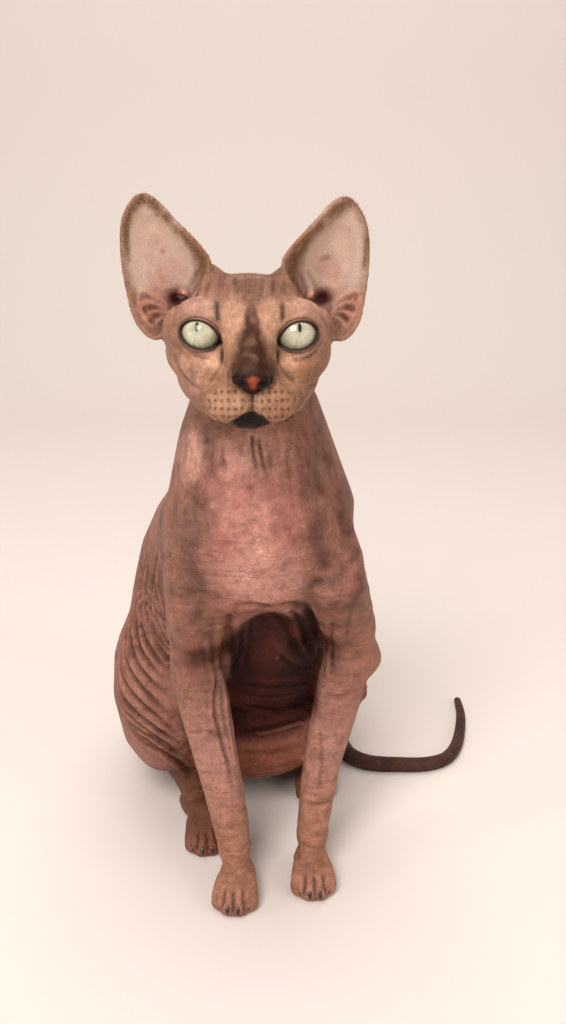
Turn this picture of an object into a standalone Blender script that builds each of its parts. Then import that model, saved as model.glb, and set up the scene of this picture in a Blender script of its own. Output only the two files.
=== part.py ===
# A seated sphynx cat, life size, as a still museum model.
#
# The flesh is built as a sculptor builds clay: overlapping ellipsoids and runs of balls, fused into one
# skin and softened. Sockets, lids, mouth and nostrils are cut into the head, and thin planes then part
# the body into head, neck, torso, legs and lengths of tail. Ears are cupped sheets set into the skull.
# X is the cat's left, Y runs back from the face, Z is up. Working sizes are millimetres.

import math

import bmesh
import bpy
import numpy as np
from mathutils import Euler, Matrix, Vector

# Stance, in the sculptor's own frame: the floor is Z = 0 and the chest stands near the origin
FACE = (-14.0, -30.0, 304.0)    # front of the eyes, midway between them
HEAD_PITCH = 12.0               # degrees that the face is lifted
HEAD_ROLL = 1.0                 # degrees that the cat's left eye lies lower
HEAD_YAW = 2.6                  # degrees that the nose points to the cat's left
BODY_SIDE = -9.0                # middle of the chest along X
BODY_YAW = 8.5                  # degrees that the hindquarters swing to the cat's right

# Head
EYE_SPACING = 38.6
EYE_RADIUS = 10.5
EYE_DEPTH = 8.5                 # middle of an eyeball behind the front of the eyes
EYE_SPLAY = 9.0                 # degrees that each eye looks outward
CORNEA_BULGE = 1.2
CORNEA_EDGE = 0.72              # where the bulge starts, as a share of the eyeball's radius
LID_THICKNESS = 2.2
LID_OPENING = (10.0, 7.5)       # half length and half height of the almond between the lids
LID_TILT = 17.0                 # degrees that the outer corner is lifted
LID_EDGE = 1.4                  # radius of the rounded lid edge
LID_EDGE_RISE = 1.3             # middle of that edge over the eyeball
NOSTRIL = (4.4, -20.5, -19.2)   # of the cat's left, in the frame of the head
MOUTH_GROOVE = 0.75             # radius of the groove between the lips
EAR_THICKNESS = 2.0
EAR_FRONT = 7.0                 # how far the head is cleared in front of the rim of an ear

# Legs
FRONT_TOES_IN = 4.0             # degrees that the front feet turn towards each other
PAW_HALF_WIDTH = 11.5
CLAW = (1.5, 7.0)               # radius of the root and length, with half the length sunk in the toe

# Making
GAP = 0.3                       # between neighbouring solids
GRAIN = 1.5                     # voxel of the fused clay
FLESH_TRIANGLES = 6200
FACE_FINENESS = 0.4             # how much the head and feet are spared when triangles are shed
FAR = 2000.0

MM = 0.001


def frame_of(place, pitch=0.0, roll=0.0, yaw=0.0):
    """A frame at a place, lifted at the front by pitch. Yaw turns its front to the cat's left."""
    turn = Euler((math.radians(-pitch), math.radians(roll), math.radians(yaw)), "XYZ")
    return Matrix.Translation(Vector(place)) @ turn.to_matrix().to_4x4()


WORLD = Matrix.Identity(4)
HEAD = frame_of(FACE, HEAD_PITCH, HEAD_ROLL, HEAD_YAW)
BODY = frame_of((BODY_SIDE, 0.0, 0.0), yaw=BODY_YAW)


def clear_scene():
    for obj in list(bpy.data.objects):
        bpy.data.objects.remove(obj)


def collection(name, hidden=False):
    made = bpy.data.collections.new(name)
    made.hide_render = hidden
    bpy.context.scene.collection.children.link(made)
    return made


def add_object(name, mesh, bench):
    obj = bpy.data.objects.new(name, mesh)
    bench.objects.link(obj)
    return obj


def settled(obj):
    """Apply an object's modifiers and weld the loose caps of a curve."""
    graph = bpy.context.evaluated_depsgraph_get()
    mesh = bpy.data.meshes.new_from_object(obj.evaluated_get(graph))
    solid = bmesh.new()
    solid.from_mesh(mesh)
    bmesh.ops.remove_doubles(solid, verts=solid.verts, dist=0.00001)
    solid.to_mesh(mesh)
    solid.free()
    made = bpy.data.objects.new(obj.name + "_settled", mesh)
    made.matrix_world = obj.matrix_world
    bench = obj.users_collection[0]
    bench.objects.link(made)
    bpy.data.objects.remove(obj)
    return made


class Clay:
    """Balls of flesh, kept as matrices until they are fused."""

    def __init__(self):
        self.balls = []

    def ball(self, frame, centre, half, turn=(0, 0, 0)):
        spin = Euler([math.radians(a) for a in turn]).to_matrix().to_4x4()
        self.balls.append(frame @ Matrix.Translation(Vector(centre)) @ spin @ Matrix.Diagonal((*half, 1.0)))

    def pair(self, frame, centre, half, turn=(0, 0, 0)):
        """The same ball on both sides of the frame's middle plane."""
        self.ball(frame, centre, half, turn)
        self.ball(frame, (-centre[0], centre[1], centre[2]), half, (turn[0], -turn[1], -turn[2]))

    def run(self, frame, stations, flat=(1.0, 1.0, 1.0), steps=5):
        """A run of balls along a smooth path. Each station is x, y, z and radius."""
        for x, y, z, radius in smooth_path(stations, steps):
            self.ball(frame, (x, y, z), [radius * part for part in flat])

    def mesh(self, fineness=3):
        """All the balls as one mesh of separate closed shells."""
        unit = bmesh.new()
        bmesh.ops.create_icosphere(unit, subdivisions=fineness, radius=MM)
        points = np.array([v.co[:] + (1.0,) for v in unit.verts])
        faces = np.array([[v.index for v in f.verts] for f in unit.faces])
        unit.free()
        places = [points * (1, 1, 1, MM) @ np.array(ball).T for ball in self.balls]
        shells = [faces + i * len(points) for i in range(len(self.balls))]
        mesh = bpy.data.meshes.new("clay")
        mesh.from_pydata(np.concatenate(places)[:, :3].tolist(), [], np.concatenate(shells).tolist())
        return mesh


def smooth_path(stations, steps):
    """Catmull-Rom curve through rows of numbers, with steps samples from each row to the next."""
    rows = np.array([stations[0], *stations, stations[-1]], float)
    found = []
    for before, start, end, after in zip(rows, rows[1:], rows[2:], rows[3:]):
        for t in np.arange(steps) / steps:
            found.append(0.5 * (2 * start + (end - before) * t
                                + (2 * before - 5 * start + 4 * end - after) * t**2
                                + (3 * start - before - 3 * end + after) * t**3))
    return np.array([*found, rows[-1]])


def head_clay(clay):
    """The broad forms of the head, which are softened into each other."""
    clay.ball(HEAD, (0, 36, 3), (30, 34, 26))                   # braincase
    clay.ball(HEAD, (0, 22, 4), (29, 22, 22))                   # forehead
    clay.pair(HEAD, (18, 10.5, 9), (14, 11, 8))                 # brows
    clay.pair(HEAD, (10, 8, 1), (8, 10, 12))                    # inner corners of the eyes
    clay.pair(HEAD, (22.3, 19, -6), (14, 17, 14))               # cheekbones
    clay.pair(HEAD, (18, 30, -15), (14, 20, 16))                # jaw muscles
    clay.pair(HEAD, (27, 32, 4), (12, 18, 14))                  # temples
    clay.pair(HEAD, (27, 40, 17), (13, 13, 13))                 # feet of the ears
    clay.pair(HEAD, (18, 31, 21), (9, 11, 12))                  # between the ears and the crown
    clay.pair(HEAD, (EYE_SPACING / 2, EYE_DEPTH + 1, 0), (15, 12, 12))
    clay.pair(HEAD, (15, 9, -12), (13, 12, 10))                 # under the eyes
    clay.pair(HEAD, (13.2, 9, -23.5), (12.8, 14, 11))           # jowls
    clay.ball(HEAD, (0, 18, -20.5), (17, 26, 13))               # lower jaw
    clay.ball(HEAD, (0, 5, -15), (16, 18, 14))                  # upper jaw
    clay.run(HEAD, [(0, 14, 9, 13), (0, 5, 2, 12), (0, -4, -5, 10.5), (0, -11, -13, 9)])


def muzzle_clay(clay):
    """The finer forms of the face, which keep their edges."""
    clay.run(HEAD, [(0, -1, -2, 7), (0, -9, -8.5, 7), (0, -15.5, -14.5, 6.6)])
    clay.ball(HEAD, (0, -17.8, -17.5), (7, 5.8, 4.8))           # nose leather
    clay.pair(HEAD, (5.0, -16.8, -18.2), (3.8, 4.2, 3.6))       # wings of the nose
    clay.pair(HEAD, (9.4, -7.0, -28), (10, 9.5, 8))             # whisker pads
    clay.pair(HEAD, (4.5, -11.5, -27.5), (5, 5.8, 6))           # lips under the nose
    clay.ball(HEAD, (0, -3, -33.5), (9, 8.5, 6))                # chin
    clay.pair(HEAD, (EYE_SPACING / 2, EYE_DEPTH, 0), [EYE_RADIUS + LID_THICKNESS] * 3)


def neck_clay(clay):
    clay.run(WORLD, [(-14, 27, 287, 24), (-14, 27, 264, 30), (-14, 28, 244, 37), (-13, 30, 222, 43.5),
                     (-11, 32, 203, 48.5)], (1.0, 1.06, 0.8), 3)


def trunk_clay(clay):
    trunk = [(31, 194, 49, 48), (54, 176, 54, 55), (80, 152, 61, 61), (105, 124, 66, 63),
             (125, 95, 70, 64), (138, 70, 69, 63), (148, 51.5, 63, 53)]
    for y, z, half_width, radius in smooth_path(trunk, 3):
        clay.ball(BODY, (0, y, z), (half_width, radius, radius))
    clay.ball(WORLD, (-10, 4, 190), (27, 19, 24))               # breast
    clay.ball(BODY, (2, 86, 40), (46, 37, 28), (-12, 0, 0))     # belly roll
    clay.ball(BODY, (2, 93, 88), (46, 38, 30))                  # upper belly


# Per side: shoulder to elbow, elbow to wrist, the point of the elbow, and the middle of the paw
FORELEGS = {
    -1: ([(-43, 14, 196, 14), (-43, 4, 182, 16), (-45, 13, 160, 15.5), (-47, 27, 138, 14.5)],
         [(-46.2, 28, 124, 14.6), (-43.2, 21, 104, 14.6), (-38.6, 14, 84, 13.6), (-34.3, 8, 66, 12.2),
          (-30.2, 4, 49, 10.8), (-27.4, 1.5, 34, 9.8), (-26, -1, 22, 9)], (-49, 41, 129), (-24.5, -8, 0)),
    1: ([(26, 14, 194, 13), (26, 5, 181, 15), (30, 17, 160, 15.5), (36, 33, 138, 14.5)],
        [(36.5, 37, 122, 14.8), (31, 33, 104, 13.6), (26, 28, 84, 12.2), (22, 22, 66, 11.2),
         (19, 17, 49, 10.2), (17, 13.5, 34, 9.3), (16, 11, 22, 8.9)], (46, 44, 115), (15.5, 3.5, 0)),
}
HIND_FEET = {-1: ((-46, 43, 0), -8.0), 1: ((19, 92, 0), 0.0)}    # place and turn


def foreleg_clay(clay, side):
    """A slim front leg. The upper arms stand wide, and the forearms lean in to meet at the paws."""
    shoulder, fore, elbow, paw = FORELEGS[side]
    clay.run(WORLD, shoulder)
    clay.run(WORLD, fore)
    clay.ball(WORLD, elbow, (9, 9, 14))


def hindleg_clay(clay, side):
    if side < 0:
        clay.ball(BODY, (-49, 102, 72), (31, 54, 56))           # thigh
        clay.ball(BODY, (-48, 76, 68), (24, 26, 29))            # knee
        clay.run(WORLD, [(-78, 126, 26, 20), (-68, 102, 17, 15), (-58, 78, 12.5, 11.3), (-51, 56, 11, 10.2)])
    else:
        clay.ball(BODY, (47, 104, 98), (29, 48, 42))
        clay.ball(BODY, (45, 76, 98), (22, 25, 27))
        clay.run(WORLD, [(34, 84, 74, 17), (30, 112, 48, 18), (20, 138, 27, 18)])
        clay.run(WORLD, [(15, 140, 19, 14), (18, 122, 13, 11), (19, 104, 11, 10)])


def paws():
    """Name, frame and forward reach of each foot."""
    for side, hand in ((-1, "right"), (1, "left")):
        yield "front_%s_paw" % hand, frame_of(FORELEGS[side][3], yaw=side * FRONT_TOES_IN), 16.0
        place, turn = HIND_FEET[side]
        yield "hind_%s_paw" % hand, frame_of(place, yaw=-turn), 20.0


def toes(reach):
    """Side and forward place of each toe: the middle two lead and the outer two hang back."""
    return [(place * (PAW_HALF_WIDTH - 4.2), reach - 4.5 * place * place) for place in (-1, -0.36, 0.36, 1)]


def feet_clay(clay):
    for side in (-1, 1):
        fore = FORELEGS[side][1]
        clay.run(WORLD, [fore[-3], fore[-2], fore[-1]])
        clay.ball(WORLD, (fore[-2][0], fore[-2][1] + 5, fore[-2][2] - 2), (5, 4.5, 5.5))    # wrist pad
    for name, frame, reach in paws():
        clay.ball(frame, (0, 1, 10), (PAW_HALF_WIDTH - 1.5, 13, 9.5))
        clay.ball(frame, (0, -3, 5), (PAW_HALF_WIDTH - 1, 12, 6.8))
        for x, forward in toes(reach):
            clay.run(frame, [(x * 0.85, -forward * 0.3, 11.5, 4.6), (x, -forward * 0.8, 10, 4.7),
                             (x * 1.05, -forward - 1, 4.6, 5.2)], steps=4)


# Middle line and radius of the tail, from inside the rump, round the left haunch and out along the floor
TAIL = [(-44, 184, 36, 16), (-38, 200, 20, 12.5), (-27, 211, 11.2, 10.6), (-7, 215, 8.2, 9), (13, 207, 7.3, 8.1),
        (28, 190, 6.5, 7.3), (36, 165, 6, 6.7), (37, 138, 5.4, 6.1), (42, 116, 4.9, 5.6), (55, 106, 4.5, 5.2),
        (74, 104.5, 4.2, 4.9), (92, 105, 4.0, 4.7), (106, 112, 3.7, 4.4), (115, 127, 3.4, 4.1),
        (121, 147, 3.1, 3.7), (125, 168, 2.7, 3.2), (126, 188, 2.0, 2.5)]
TAIL_LENGTHS = ("tail_base", "tail_middle", "tail_far", "tail_tip")
TAIL_END = ((1.4, 0.8), (2.2, 0.35))    # distance past the last point and share of its radius


def smooth_weight(values, start, end):
    """0 before start and 1 after end, with a soft step between."""
    t = np.clip((values - start) / (end - start), 0.0, 1.0)
    return t * t * (3 - 2 * t)


def fused(obj, grain):
    fuse = obj.modifiers.new("fuse", "REMESH")
    fuse.mode = "VOXEL"
    fuse.voxel_size = grain * MM
    return settled(obj)


def softened(obj, rounds, weights=None):
    """Smooth an object, by a weight for each vertex where weights are given."""
    soften = obj.modifiers.new("soften", "SMOOTH")
    soften.factor = 0.5
    soften.iterations = rounds
    if weights is not None:
        group = obj.vertex_groups.new(name="soft")
        for index, weight in enumerate(weights):
            group.add([index], float(weight), "REPLACE")
        soften.vertex_group = group.name
    return settled(obj)


def joined(objects):
    """Several mesh objects as one object of separate shells."""
    whole = bmesh.new()
    for obj in objects:
        whole.from_mesh(obj.data)
    mesh = objects[0].data.copy()
    whole.to_mesh(mesh)
    whole.free()
    made = add_object("joined", mesh, objects[0].users_collection[0])
    for obj in objects:
        bpy.data.objects.remove(obj)
    return made


def combined(obj, other, operation):
    """Boolean of an object with another, which is used up. Only the largest closed surface is kept."""
    for solver in ("EXACT", "MANIFOLD"):
        change = obj.modifiers.new("change", "BOOLEAN")
        change.operation = operation
        change.solver = solver
        change.object = other
        graph = bpy.context.evaluated_depsgraph_get()
        if len(obj.evaluated_get(graph).data.polygons) > 3:
            break
        obj.modifiers.remove(change)
    made = settled(obj)
    bpy.data.objects.remove(other)
    return keep_largest(made)


def keep_largest(obj):
    solid = bmesh.new()
    solid.from_mesh(obj.data)
    left = set(solid.faces)
    shells = []
    while left:
        stack = [left.pop()]
        shell = set(stack)
        while stack:
            for edge in stack.pop().edges:
                for face in edge.link_faces:
                    if face in left:
                        left.discard(face)
                        shell.add(face)
                        stack.append(face)
        shells.append(shell)
    shells.sort(key=len)
    for shell in shells[:-1]:
        bmesh.ops.delete(solid, geom=list(shell), context="FACES")
    solid.to_mesh(obj.data)
    solid.free()
    return obj


def flesh_object(bench):
    """Broad forms are fused and well softened, then finer ones are added and only just softened."""
    broad = Clay()
    head_clay(broad)
    neck_clay(broad)
    trunk_clay(broad)
    for side in (-1, 1):
        foreleg_clay(broad, side)
        hindleg_clay(broad, side)
    broad.run(WORLD, TAIL[:2])
    flesh = fused(add_object("flesh", broad.mesh(), bench), GRAIN)
    flesh = combined(flesh, add_object("arch", arch_clay().mesh(), bench), "DIFFERENCE")
    height = np.array([v.co.z for v in flesh.data.vertices]) / MM
    flesh = softened(flesh, 10)
    flesh = softened(flesh, 24, smooth_weight(height, 30, 60) * (1 - smooth_weight(height, 255, 280)))
    fine = Clay()
    muzzle_clay(fine)
    feet_clay(fine)
    flesh = joined([flesh, add_object("fine", fine.mesh(), bench)])
    return softened(fused(flesh, GRAIN), 4)


def arch_clay():
    """The hollow under the breastbone, between the front legs."""
    hollow = Clay()
    hollow.ball(WORLD, (-8, -4, 127), (20, 31, 44))
    return hollow


def thinned(obj, triangles):
    """Shed triangles, mostly where the head and the feet are not."""
    places = np.array([v.co[:] for v in obj.data.vertices]) / MM
    head = smooth_weight(places[:, 2], 262, 272)
    feet = 1 - smooth_weight(places[:, 2], 24, 34)
    front = 1 - smooth_weight(places[:, 1], 95, 110)
    group = obj.vertex_groups.new(name="coarse")
    for index, weight in enumerate(1 - FACE_FINENESS * np.maximum(head, feet * front)):
        group.add([index], float(weight), "REPLACE")
    shed = obj.modifiers.new("shed", "DECIMATE")
    shed.ratio = triangles / sum(len(face.vertices) - 2 for face in obj.data.polygons)
    shed.vertex_group = group.name
    shed.use_collapse_triangulate = True
    return settled(obj)


def closed_path(points, steps):
    """Catmull-Rom loop through points in order."""
    count = len(points)
    rows = np.array([points[(i - 1) % count] for i in range(count + 3)], float)
    found = []
    for before, start, end, after in zip(rows, rows[1:], rows[2:], rows[3:]):
        for t in np.arange(steps) / steps:
            found.append(0.5 * (2 * start + (end - before) * t
                                + (2 * before - 5 * start + 4 * end - after) * t**2
                                + (3 * start - before - 3 * end + after) * t**3))
    return np.array(found)


# Rim of the cat's left ear in the head's frame, from the notch at its foot, up the outer edge to the
# tip, and down the inner edge and across the brow side
EAR_RIM = [(41, 31, -1), (50, 36, 6), (54, 38, 18), (56.5, 36, 34), (56, 33, 49), (51.5, 31, 58.5),
           (46, 30, 61.5), (40, 29, 58.5), (31.5, 27, 49.5), (22, 25, 40), (16.5, 23.5, 31), (21, 20.5, 20),
           (30, 21.5, 9)]
EAR_CANAL = (30, 46, 13)
EAR_LEAN = {-1: 0.0, 1: 0.065}      # how far each ear leans towards the crown for its height
EAR_RINGS = 4
EAR_ROUNDNESS = 1.9


def ear_rings(side):
    """Rings of points from the rim of an ear down to its canal, and the point of the canal."""
    rim = closed_path(EAR_RIM, 3)
    rim[:, 0] -= EAR_LEAN[side] * rim[:, 2]
    canal = np.array(EAR_CANAL, float)
    rings = []
    for ring in range(EAR_RINGS):
        t = ring / EAR_RINGS
        part = rim + (canal - rim) * t
        part[:, 1] = rim[:, 1] + (canal[1] - rim[:, 1]) * (1 - (1 - t) ** EAR_ROUNDNESS)
        rings.append(part * (side, 1, 1))
    return rings, canal * (side, 1, 1)


def ear_bowl(side):
    """The open cup of an ear as one sheet of faces."""
    rings, canal = ear_rings(side)
    bowl = bmesh.new()
    rows = [[bowl.verts.new(HEAD @ Vector(p)) for p in ring] for ring in rings]
    middle = bowl.verts.new(HEAD @ Vector(canal))
    count = len(rows[0])
    for outer, inner in zip(rows, rows[1:]):
        for i in range(count):
            bowl.faces.new((outer[i], outer[(i + 1) % count], inner[(i + 1) % count], inner[i]))
    for i in range(count):
        bowl.faces.new((rows[-1][i], rows[-1][(i + 1) % count], middle))
    bmesh.ops.triangulate(bowl, faces=bowl.faces)
    bmesh.ops.recalc_face_normals(bowl, faces=bowl.faces)
    return bowl, rows[0]


def finished(solid, name, bench):
    """Turn a working mesh in millimetres into an object in metres."""
    bmesh.ops.scale(solid, vec=(MM, MM, MM), verts=solid.verts)
    mesh = bpy.data.meshes.new(name)
    solid.to_mesh(mesh)
    solid.free()
    return add_object(name, mesh, bench)


def ear_object(side, bench):
    bowl, rim = ear_bowl(side)
    ear = finished(bowl, "ear_left" if side > 0 else "ear_right", bench)
    thicken = ear.modifiers.new("thickness", "SOLIDIFY")
    thicken.thickness = EAR_THICKNESS * MM
    thicken.offset = 0.0
    return ear


def ear_filler(side, bench):
    """The hollow of an ear's cup, closed in front, which the head leaves open."""
    bowl, rim = ear_bowl(side)
    middle = sum((vert.co for vert in rim), Vector()) / len(rim)
    front = bowl.verts.new(middle + HEAD.to_3x3() @ Vector((0, -EAR_FRONT, 0)))
    for vert, following in zip(rim, rim[1:] + rim[:1]):
        bowl.faces.new((vert, following, front))
    bmesh.ops.recalc_face_normals(bowl, faces=bowl.faces)
    return finished(bowl, "ear_filler", bench)


def grown(obj, margin):
    """An object with its surface moved out by a margin in millimetres."""
    grow = obj.modifiers.new("grow", "DISPLACE")
    grow.strength = margin * MM
    grow.mid_level = 0.0
    return settled(obj)


def eye_frame(side):
    """Frame of one eyeball, with -Y looking out."""
    return HEAD @ frame_of((side * EYE_SPACING / 2, EYE_DEPTH, 0), yaw=side * EYE_SPLAY)


def eye_object(side, bench, grow=0.0):
    ball = bmesh.new()
    bmesh.ops.create_uvsphere(ball, u_segments=20, v_segments=12, radius=EYE_RADIUS + grow)
    for vert in ball.verts:
        lift = max(0.0, vert.co.z / EYE_RADIUS - CORNEA_EDGE) / (1 - CORNEA_EDGE)
        vert.co.z += CORNEA_BULGE * lift
    turn = Matrix.Rotation(math.radians(90), 4, "X")
    bmesh.ops.transform(ball, matrix=eye_frame(side) @ turn, verts=ball.verts)
    return finished(ball, "eye_left" if side > 0 else "eye_right", bench)


def almond(side, steps=20):
    """The outline between the lids, as x and z over the eyeball. The outer corner is lifted."""
    half_length, half_height = LID_OPENING
    tilt = math.radians(LID_TILT) * side
    for step in range(steps):
        angle = 2 * math.pi * step / steps
        x = half_length * math.cos(angle)
        z = half_height * math.sin(angle) * abs(math.sin(angle)) ** 0.25
        yield x * math.cos(tilt) - z * math.sin(tilt), x * math.sin(tilt) + z * math.cos(tilt)


def curve_tube(name, points, radii, thickness, bench, closed=False, sides=2):
    """A round tube along points in millimetres, with flat filled ends unless it is closed."""
    data = bpy.data.curves.new(name, "CURVE")
    data.dimensions = "3D"
    data.bevel_depth = thickness * MM
    data.bevel_resolution = sides
    data.use_fill_caps = not closed
    line = data.splines.new("POLY")
    line.points.add(len(points) - 1)
    for spot, place, radius in zip(line.points, points, radii):
        spot.co = (*(Vector(place) * MM), 1.0)
        spot.radius = radius
    line.use_cyclic_u = closed
    return settled(add_object(name, data, bench))


def lid_ring(side, bench):
    """The rounded edges of both lids, as a closed tube on the eyeball."""
    out = EYE_RADIUS + LID_EDGE_RISE
    frame = eye_frame(side)
    points = [frame @ Vector((x, -math.sqrt(out**2 - x**2 - z**2), z)) for x, z in almond(side)]
    return curve_tube("lid_edges", points, [1.0] * len(points), LID_EDGE, bench, closed=True, sides=1)


def lid_window(side, bench):
    """The opening between the lids, pushed out through them from the middle of the eyeball."""
    window = bmesh.new()
    frame = eye_frame(side)
    back = [window.verts.new(frame @ Vector((x, 0, z))) for x, z in almond(side)]
    front = [window.verts.new(frame @ Vector((x, -2 * EYE_RADIUS, z))) for x, z in almond(side)]
    window.faces.new(back)
    window.faces.new(front)
    for i, vert in enumerate(back):
        after = (i + 1) % len(back)
        window.faces.new((vert, back[after], front[after], front[i]))
    bmesh.ops.recalc_face_normals(window, faces=window.faces)
    return finished(window, "lid_window", bench)


def surface_point(head, x, z):
    """The front of the head at x and z in its own frame."""
    start = HEAD @ Vector((x, -200, z)) * MM
    ahead = HEAD.to_3x3() @ Vector((0, 1, 0))
    found, place, normal, face = head.ray_cast(start, ahead)
    return place / MM


def mouth_groove(head, bench):
    """The line of the mouth: down from the nose, then out along both lips."""
    lips = [(-13, -35), (-10, -35.6), (-6.5, -34.6), (-3, -32.6), (0, -30.8), (3, -32.6), (6.5, -34.6),
            (10, -35.6), (13, -35)]
    points = [surface_point(head, x, z) for x, z in lips]
    return curve_tube("mouth", points, [1.0] * len(points), MOUTH_GROOVE, bench)


def philtrum(head, bench):
    points = [surface_point(head, 0, z) for z in (-23, -25.5, -28, -30.8)]
    return curve_tube("philtrum", points, [1.0] * len(points), MOUTH_GROOVE * 0.8, bench)


def nostril(side, bench):
    hole = bmesh.new()
    frame = HEAD @ frame_of((side * NOSTRIL[0], NOSTRIL[1], NOSTRIL[2]), yaw=-side * 35.0)
    size = Matrix.Diagonal((1.5, 3.2, 1.1, 1.0))
    bmesh.ops.create_icosphere(hole, subdivisions=2, radius=1.0, matrix=frame @ size)
    return finished(hole, "nostril", bench)


def carve_head(head, bench):
    for side in (-1, 1):
        head = combined(head, lid_window(side, bench), "DIFFERENCE")
        head = combined(head, lid_ring(side, bench), "UNION")
        head = combined(head, eye_object(side, bench, GAP), "DIFFERENCE")
        head = combined(head, nostril(side, bench), "DIFFERENCE")
        head = combined(head, grown(settled(ear_object(side, bench)), 1.3 * GAP), "DIFFERENCE")
        head = combined(head, ear_filler(side, bench), "DIFFERENCE")
    head = combined(head, philtrum(head, bench), "DIFFERENCE")
    return combined(head, mouth_groove(head, bench), "DIFFERENCE")


def block(planes, bench, grow=0.0):
    """A large block trimmed by planes, each a point and the direction that is cut away, in millimetres."""
    solid = bmesh.new()
    bmesh.ops.create_cube(solid, size=FAR)
    for point, away in planes:
        normal = Vector(away).normalized()
        everything = solid.verts[:] + solid.edges[:] + solid.faces[:]
        bmesh.ops.bisect_plane(solid, geom=everything, plane_co=Vector(point) + normal * grow,
                               plane_no=normal, clear_outer=True)
        rim = [edge for edge in solid.edges if edge.is_boundary]
        bmesh.ops.holes_fill(solid, edges=rim)
    bmesh.ops.recalc_face_normals(solid, faces=solid.faces)
    return finished(solid, "block", bench)


def parted(body, region, bench):
    """Split a body in two: what lies within a region, and the rest with a gap left between."""
    copy = add_object("copy", body.data.copy(), bench)
    piece = combined(copy, region(bench, 0.0), "INTERSECT")
    rest = combined(body, region(bench, GAP), "DIFFERENCE")
    return piece, rest


def within(planes):
    """The region inside some planes."""
    return lambda bench, grow: block(planes, bench, grow)


def thigh(frame, centre, half, sides, limb):
    """The region of a hind leg: a trimmed ball round its muscle, joined to a block round its foot."""
    def region(bench, grow):
        muscle = Clay()
        muscle.ball(frame, centre, [size + grow for size in half])
        trimmed = combined(add_object("muscle", muscle.mesh(), bench), block(sides, bench, grow), "INTERSECT")
        return combined(trimmed, block(limb, bench, grow), "UNION")
    return region


def body_plane(point, away):
    """A plane given in the frame of the hindquarters."""
    return BODY @ Vector(point), BODY.to_3x3() @ Vector(away)


# Regions that part the flesh, in order
CUTS = (
    ("head", within([((-14, 2, 258), (0, 34, -50))])),
    ("front_right_leg", within([
        ((-10, 0, 0), (1, 0, 0.12)), ((0, 50, 122), (0, 1, 0)), ((0, 50, 122), (0, 100, -33)),
        ((0, 0, 188), (0, 0, 1))])),
    ("front_left_leg", within([
        ((3, 0, 0), (-1, 0, 0.09)), ((0, 57, 118), (0, 1, 0)), ((0, 57, 118), (0, 112, -33)),
        ((0, 0, 188), (0, 0, 1))])),
    ("neck", within([((-14, -20, 206), (0, 32, -90))])),
    ("hind_right_leg", thigh(BODY, (-54, 106, 72), (46, 60, 60), [
        body_plane((-33, 0, 0), (1, 0, 0)), ((0, 0, 6), (0, 0, -1))], [
        body_plane((-15, 0, 0), (1, 0, 0)), ((0, 0, 24), (0, 0, 1)),
        body_plane((0, 146, 0), (0, 1, 0))])),
    ("hind_left_leg", thigh(BODY, (52, 106, 90), (42, 58, 58), [
        body_plane((34, 0, 0), (-1, 0, 0)), ((0, 0, 6), (0, 0, -1))], [
        body_plane((28, 0, 0), (-1, 0, 0)), ((0, 0, 40), (0, 0, 1)),
        body_plane((0, 150, 0), (0, 1, 0))])),
)
WRISTS = {"front_right_leg": 27.0, "front_left_leg": 27.0}      # height of the top of each front paw
HEELS = {"hind_right_leg": 62.0, "hind_left_leg": 108.0}        # how far back each hind paw reaches
INSTEP = 23.0                                                   # height under which each hind paw lies


def claws(paw, frame, reach, bench):
    """Four claws, each a bent cone with its root sunk well into its toe."""
    radius, length = CLAW
    for x, forward in toes(reach):
        root = frame @ Vector((x * 1.05, -forward - 1.5, 7.0))
        points = [root, frame @ Vector((x * 1.05, -forward - 4.6, 6.6)),
                  frame @ Vector((x * 1.05, -forward - length, 4.8))]
        paw = combined(paw, curve_tube("claw", points, [1.0, 0.8, 0.15], radius, bench, sides=1), "UNION")
    return paw


def tail_pieces(body, bench):
    """Tapered lengths of tail, face to face, with the first one meeting the rump."""
    path = smooth_path(TAIL, 3)
    samples = (len(path) - 1) // len(TAIL_LENGTHS)
    joints = [(path[i, :3], path[i + 1, :3] - path[i - 1, :3]) for i in range(samples, len(path) - 1, samples)]
    pieces = []
    for number, name in enumerate(TAIL_LENGTHS):
        part = path[max(0, number * samples - 1):(number + 1) * samples + 2]
        planes = []
        if number > 0:
            point, ahead = joints[number - 1]
            planes.append((point, -ahead))
        if number < len(joints):
            planes.append(joints[number])
        points = [tuple(row[:3]) for row in part]
        radii = [row[3] for row in part]
        if number == len(joints):
            onward = (part[-1, :3] - part[-2, :3]) / np.linalg.norm(part[-1, :3] - part[-2, :3])
            for distance, share in TAIL_END:
                points.append(tuple(part[-1, :3] + onward * distance))
                radii.append(part[-1, 3] * share)
        tube = curve_tube(name, points, radii, 1.0, bench)
        pieces.append((name, combined(tube, block(planes, bench, -GAP / 2), "INTERSECT")))
    name, base = pieces[0]
    rump = grown(add_object("rump", body.data.copy(), bench), 1.2 * GAP)
    pieces[0] = (name, combined(base, rump, "DIFFERENCE"))
    return pieces


def floored(obj, bench):
    """Trim a piece flat where it rests."""
    return combined(obj, block([((0, 0, 0), (0, 0, -1))], bench), "INTERSECT")


def material(name, colour, roughness):
    made = bpy.data.materials.new(name)
    made.use_nodes = True
    shader = made.node_tree.nodes["Principled BSDF"]
    shader.inputs["Base Color"].default_value = (*colour, 1.0)
    shader.inputs["Roughness"].default_value = roughness
    return made


SKIN = ((0.30, 0.15, 0.11), 0.6)
FINISHES = {"ear": ((0.45, 0.27, 0.22), 0.6), "eye": ((0.42, 0.45, 0.30), 0.15),
            "tail": ((0.09, 0.045, 0.04), 0.6), "neck": ((0.36, 0.19, 0.16), 0.6)}


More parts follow.
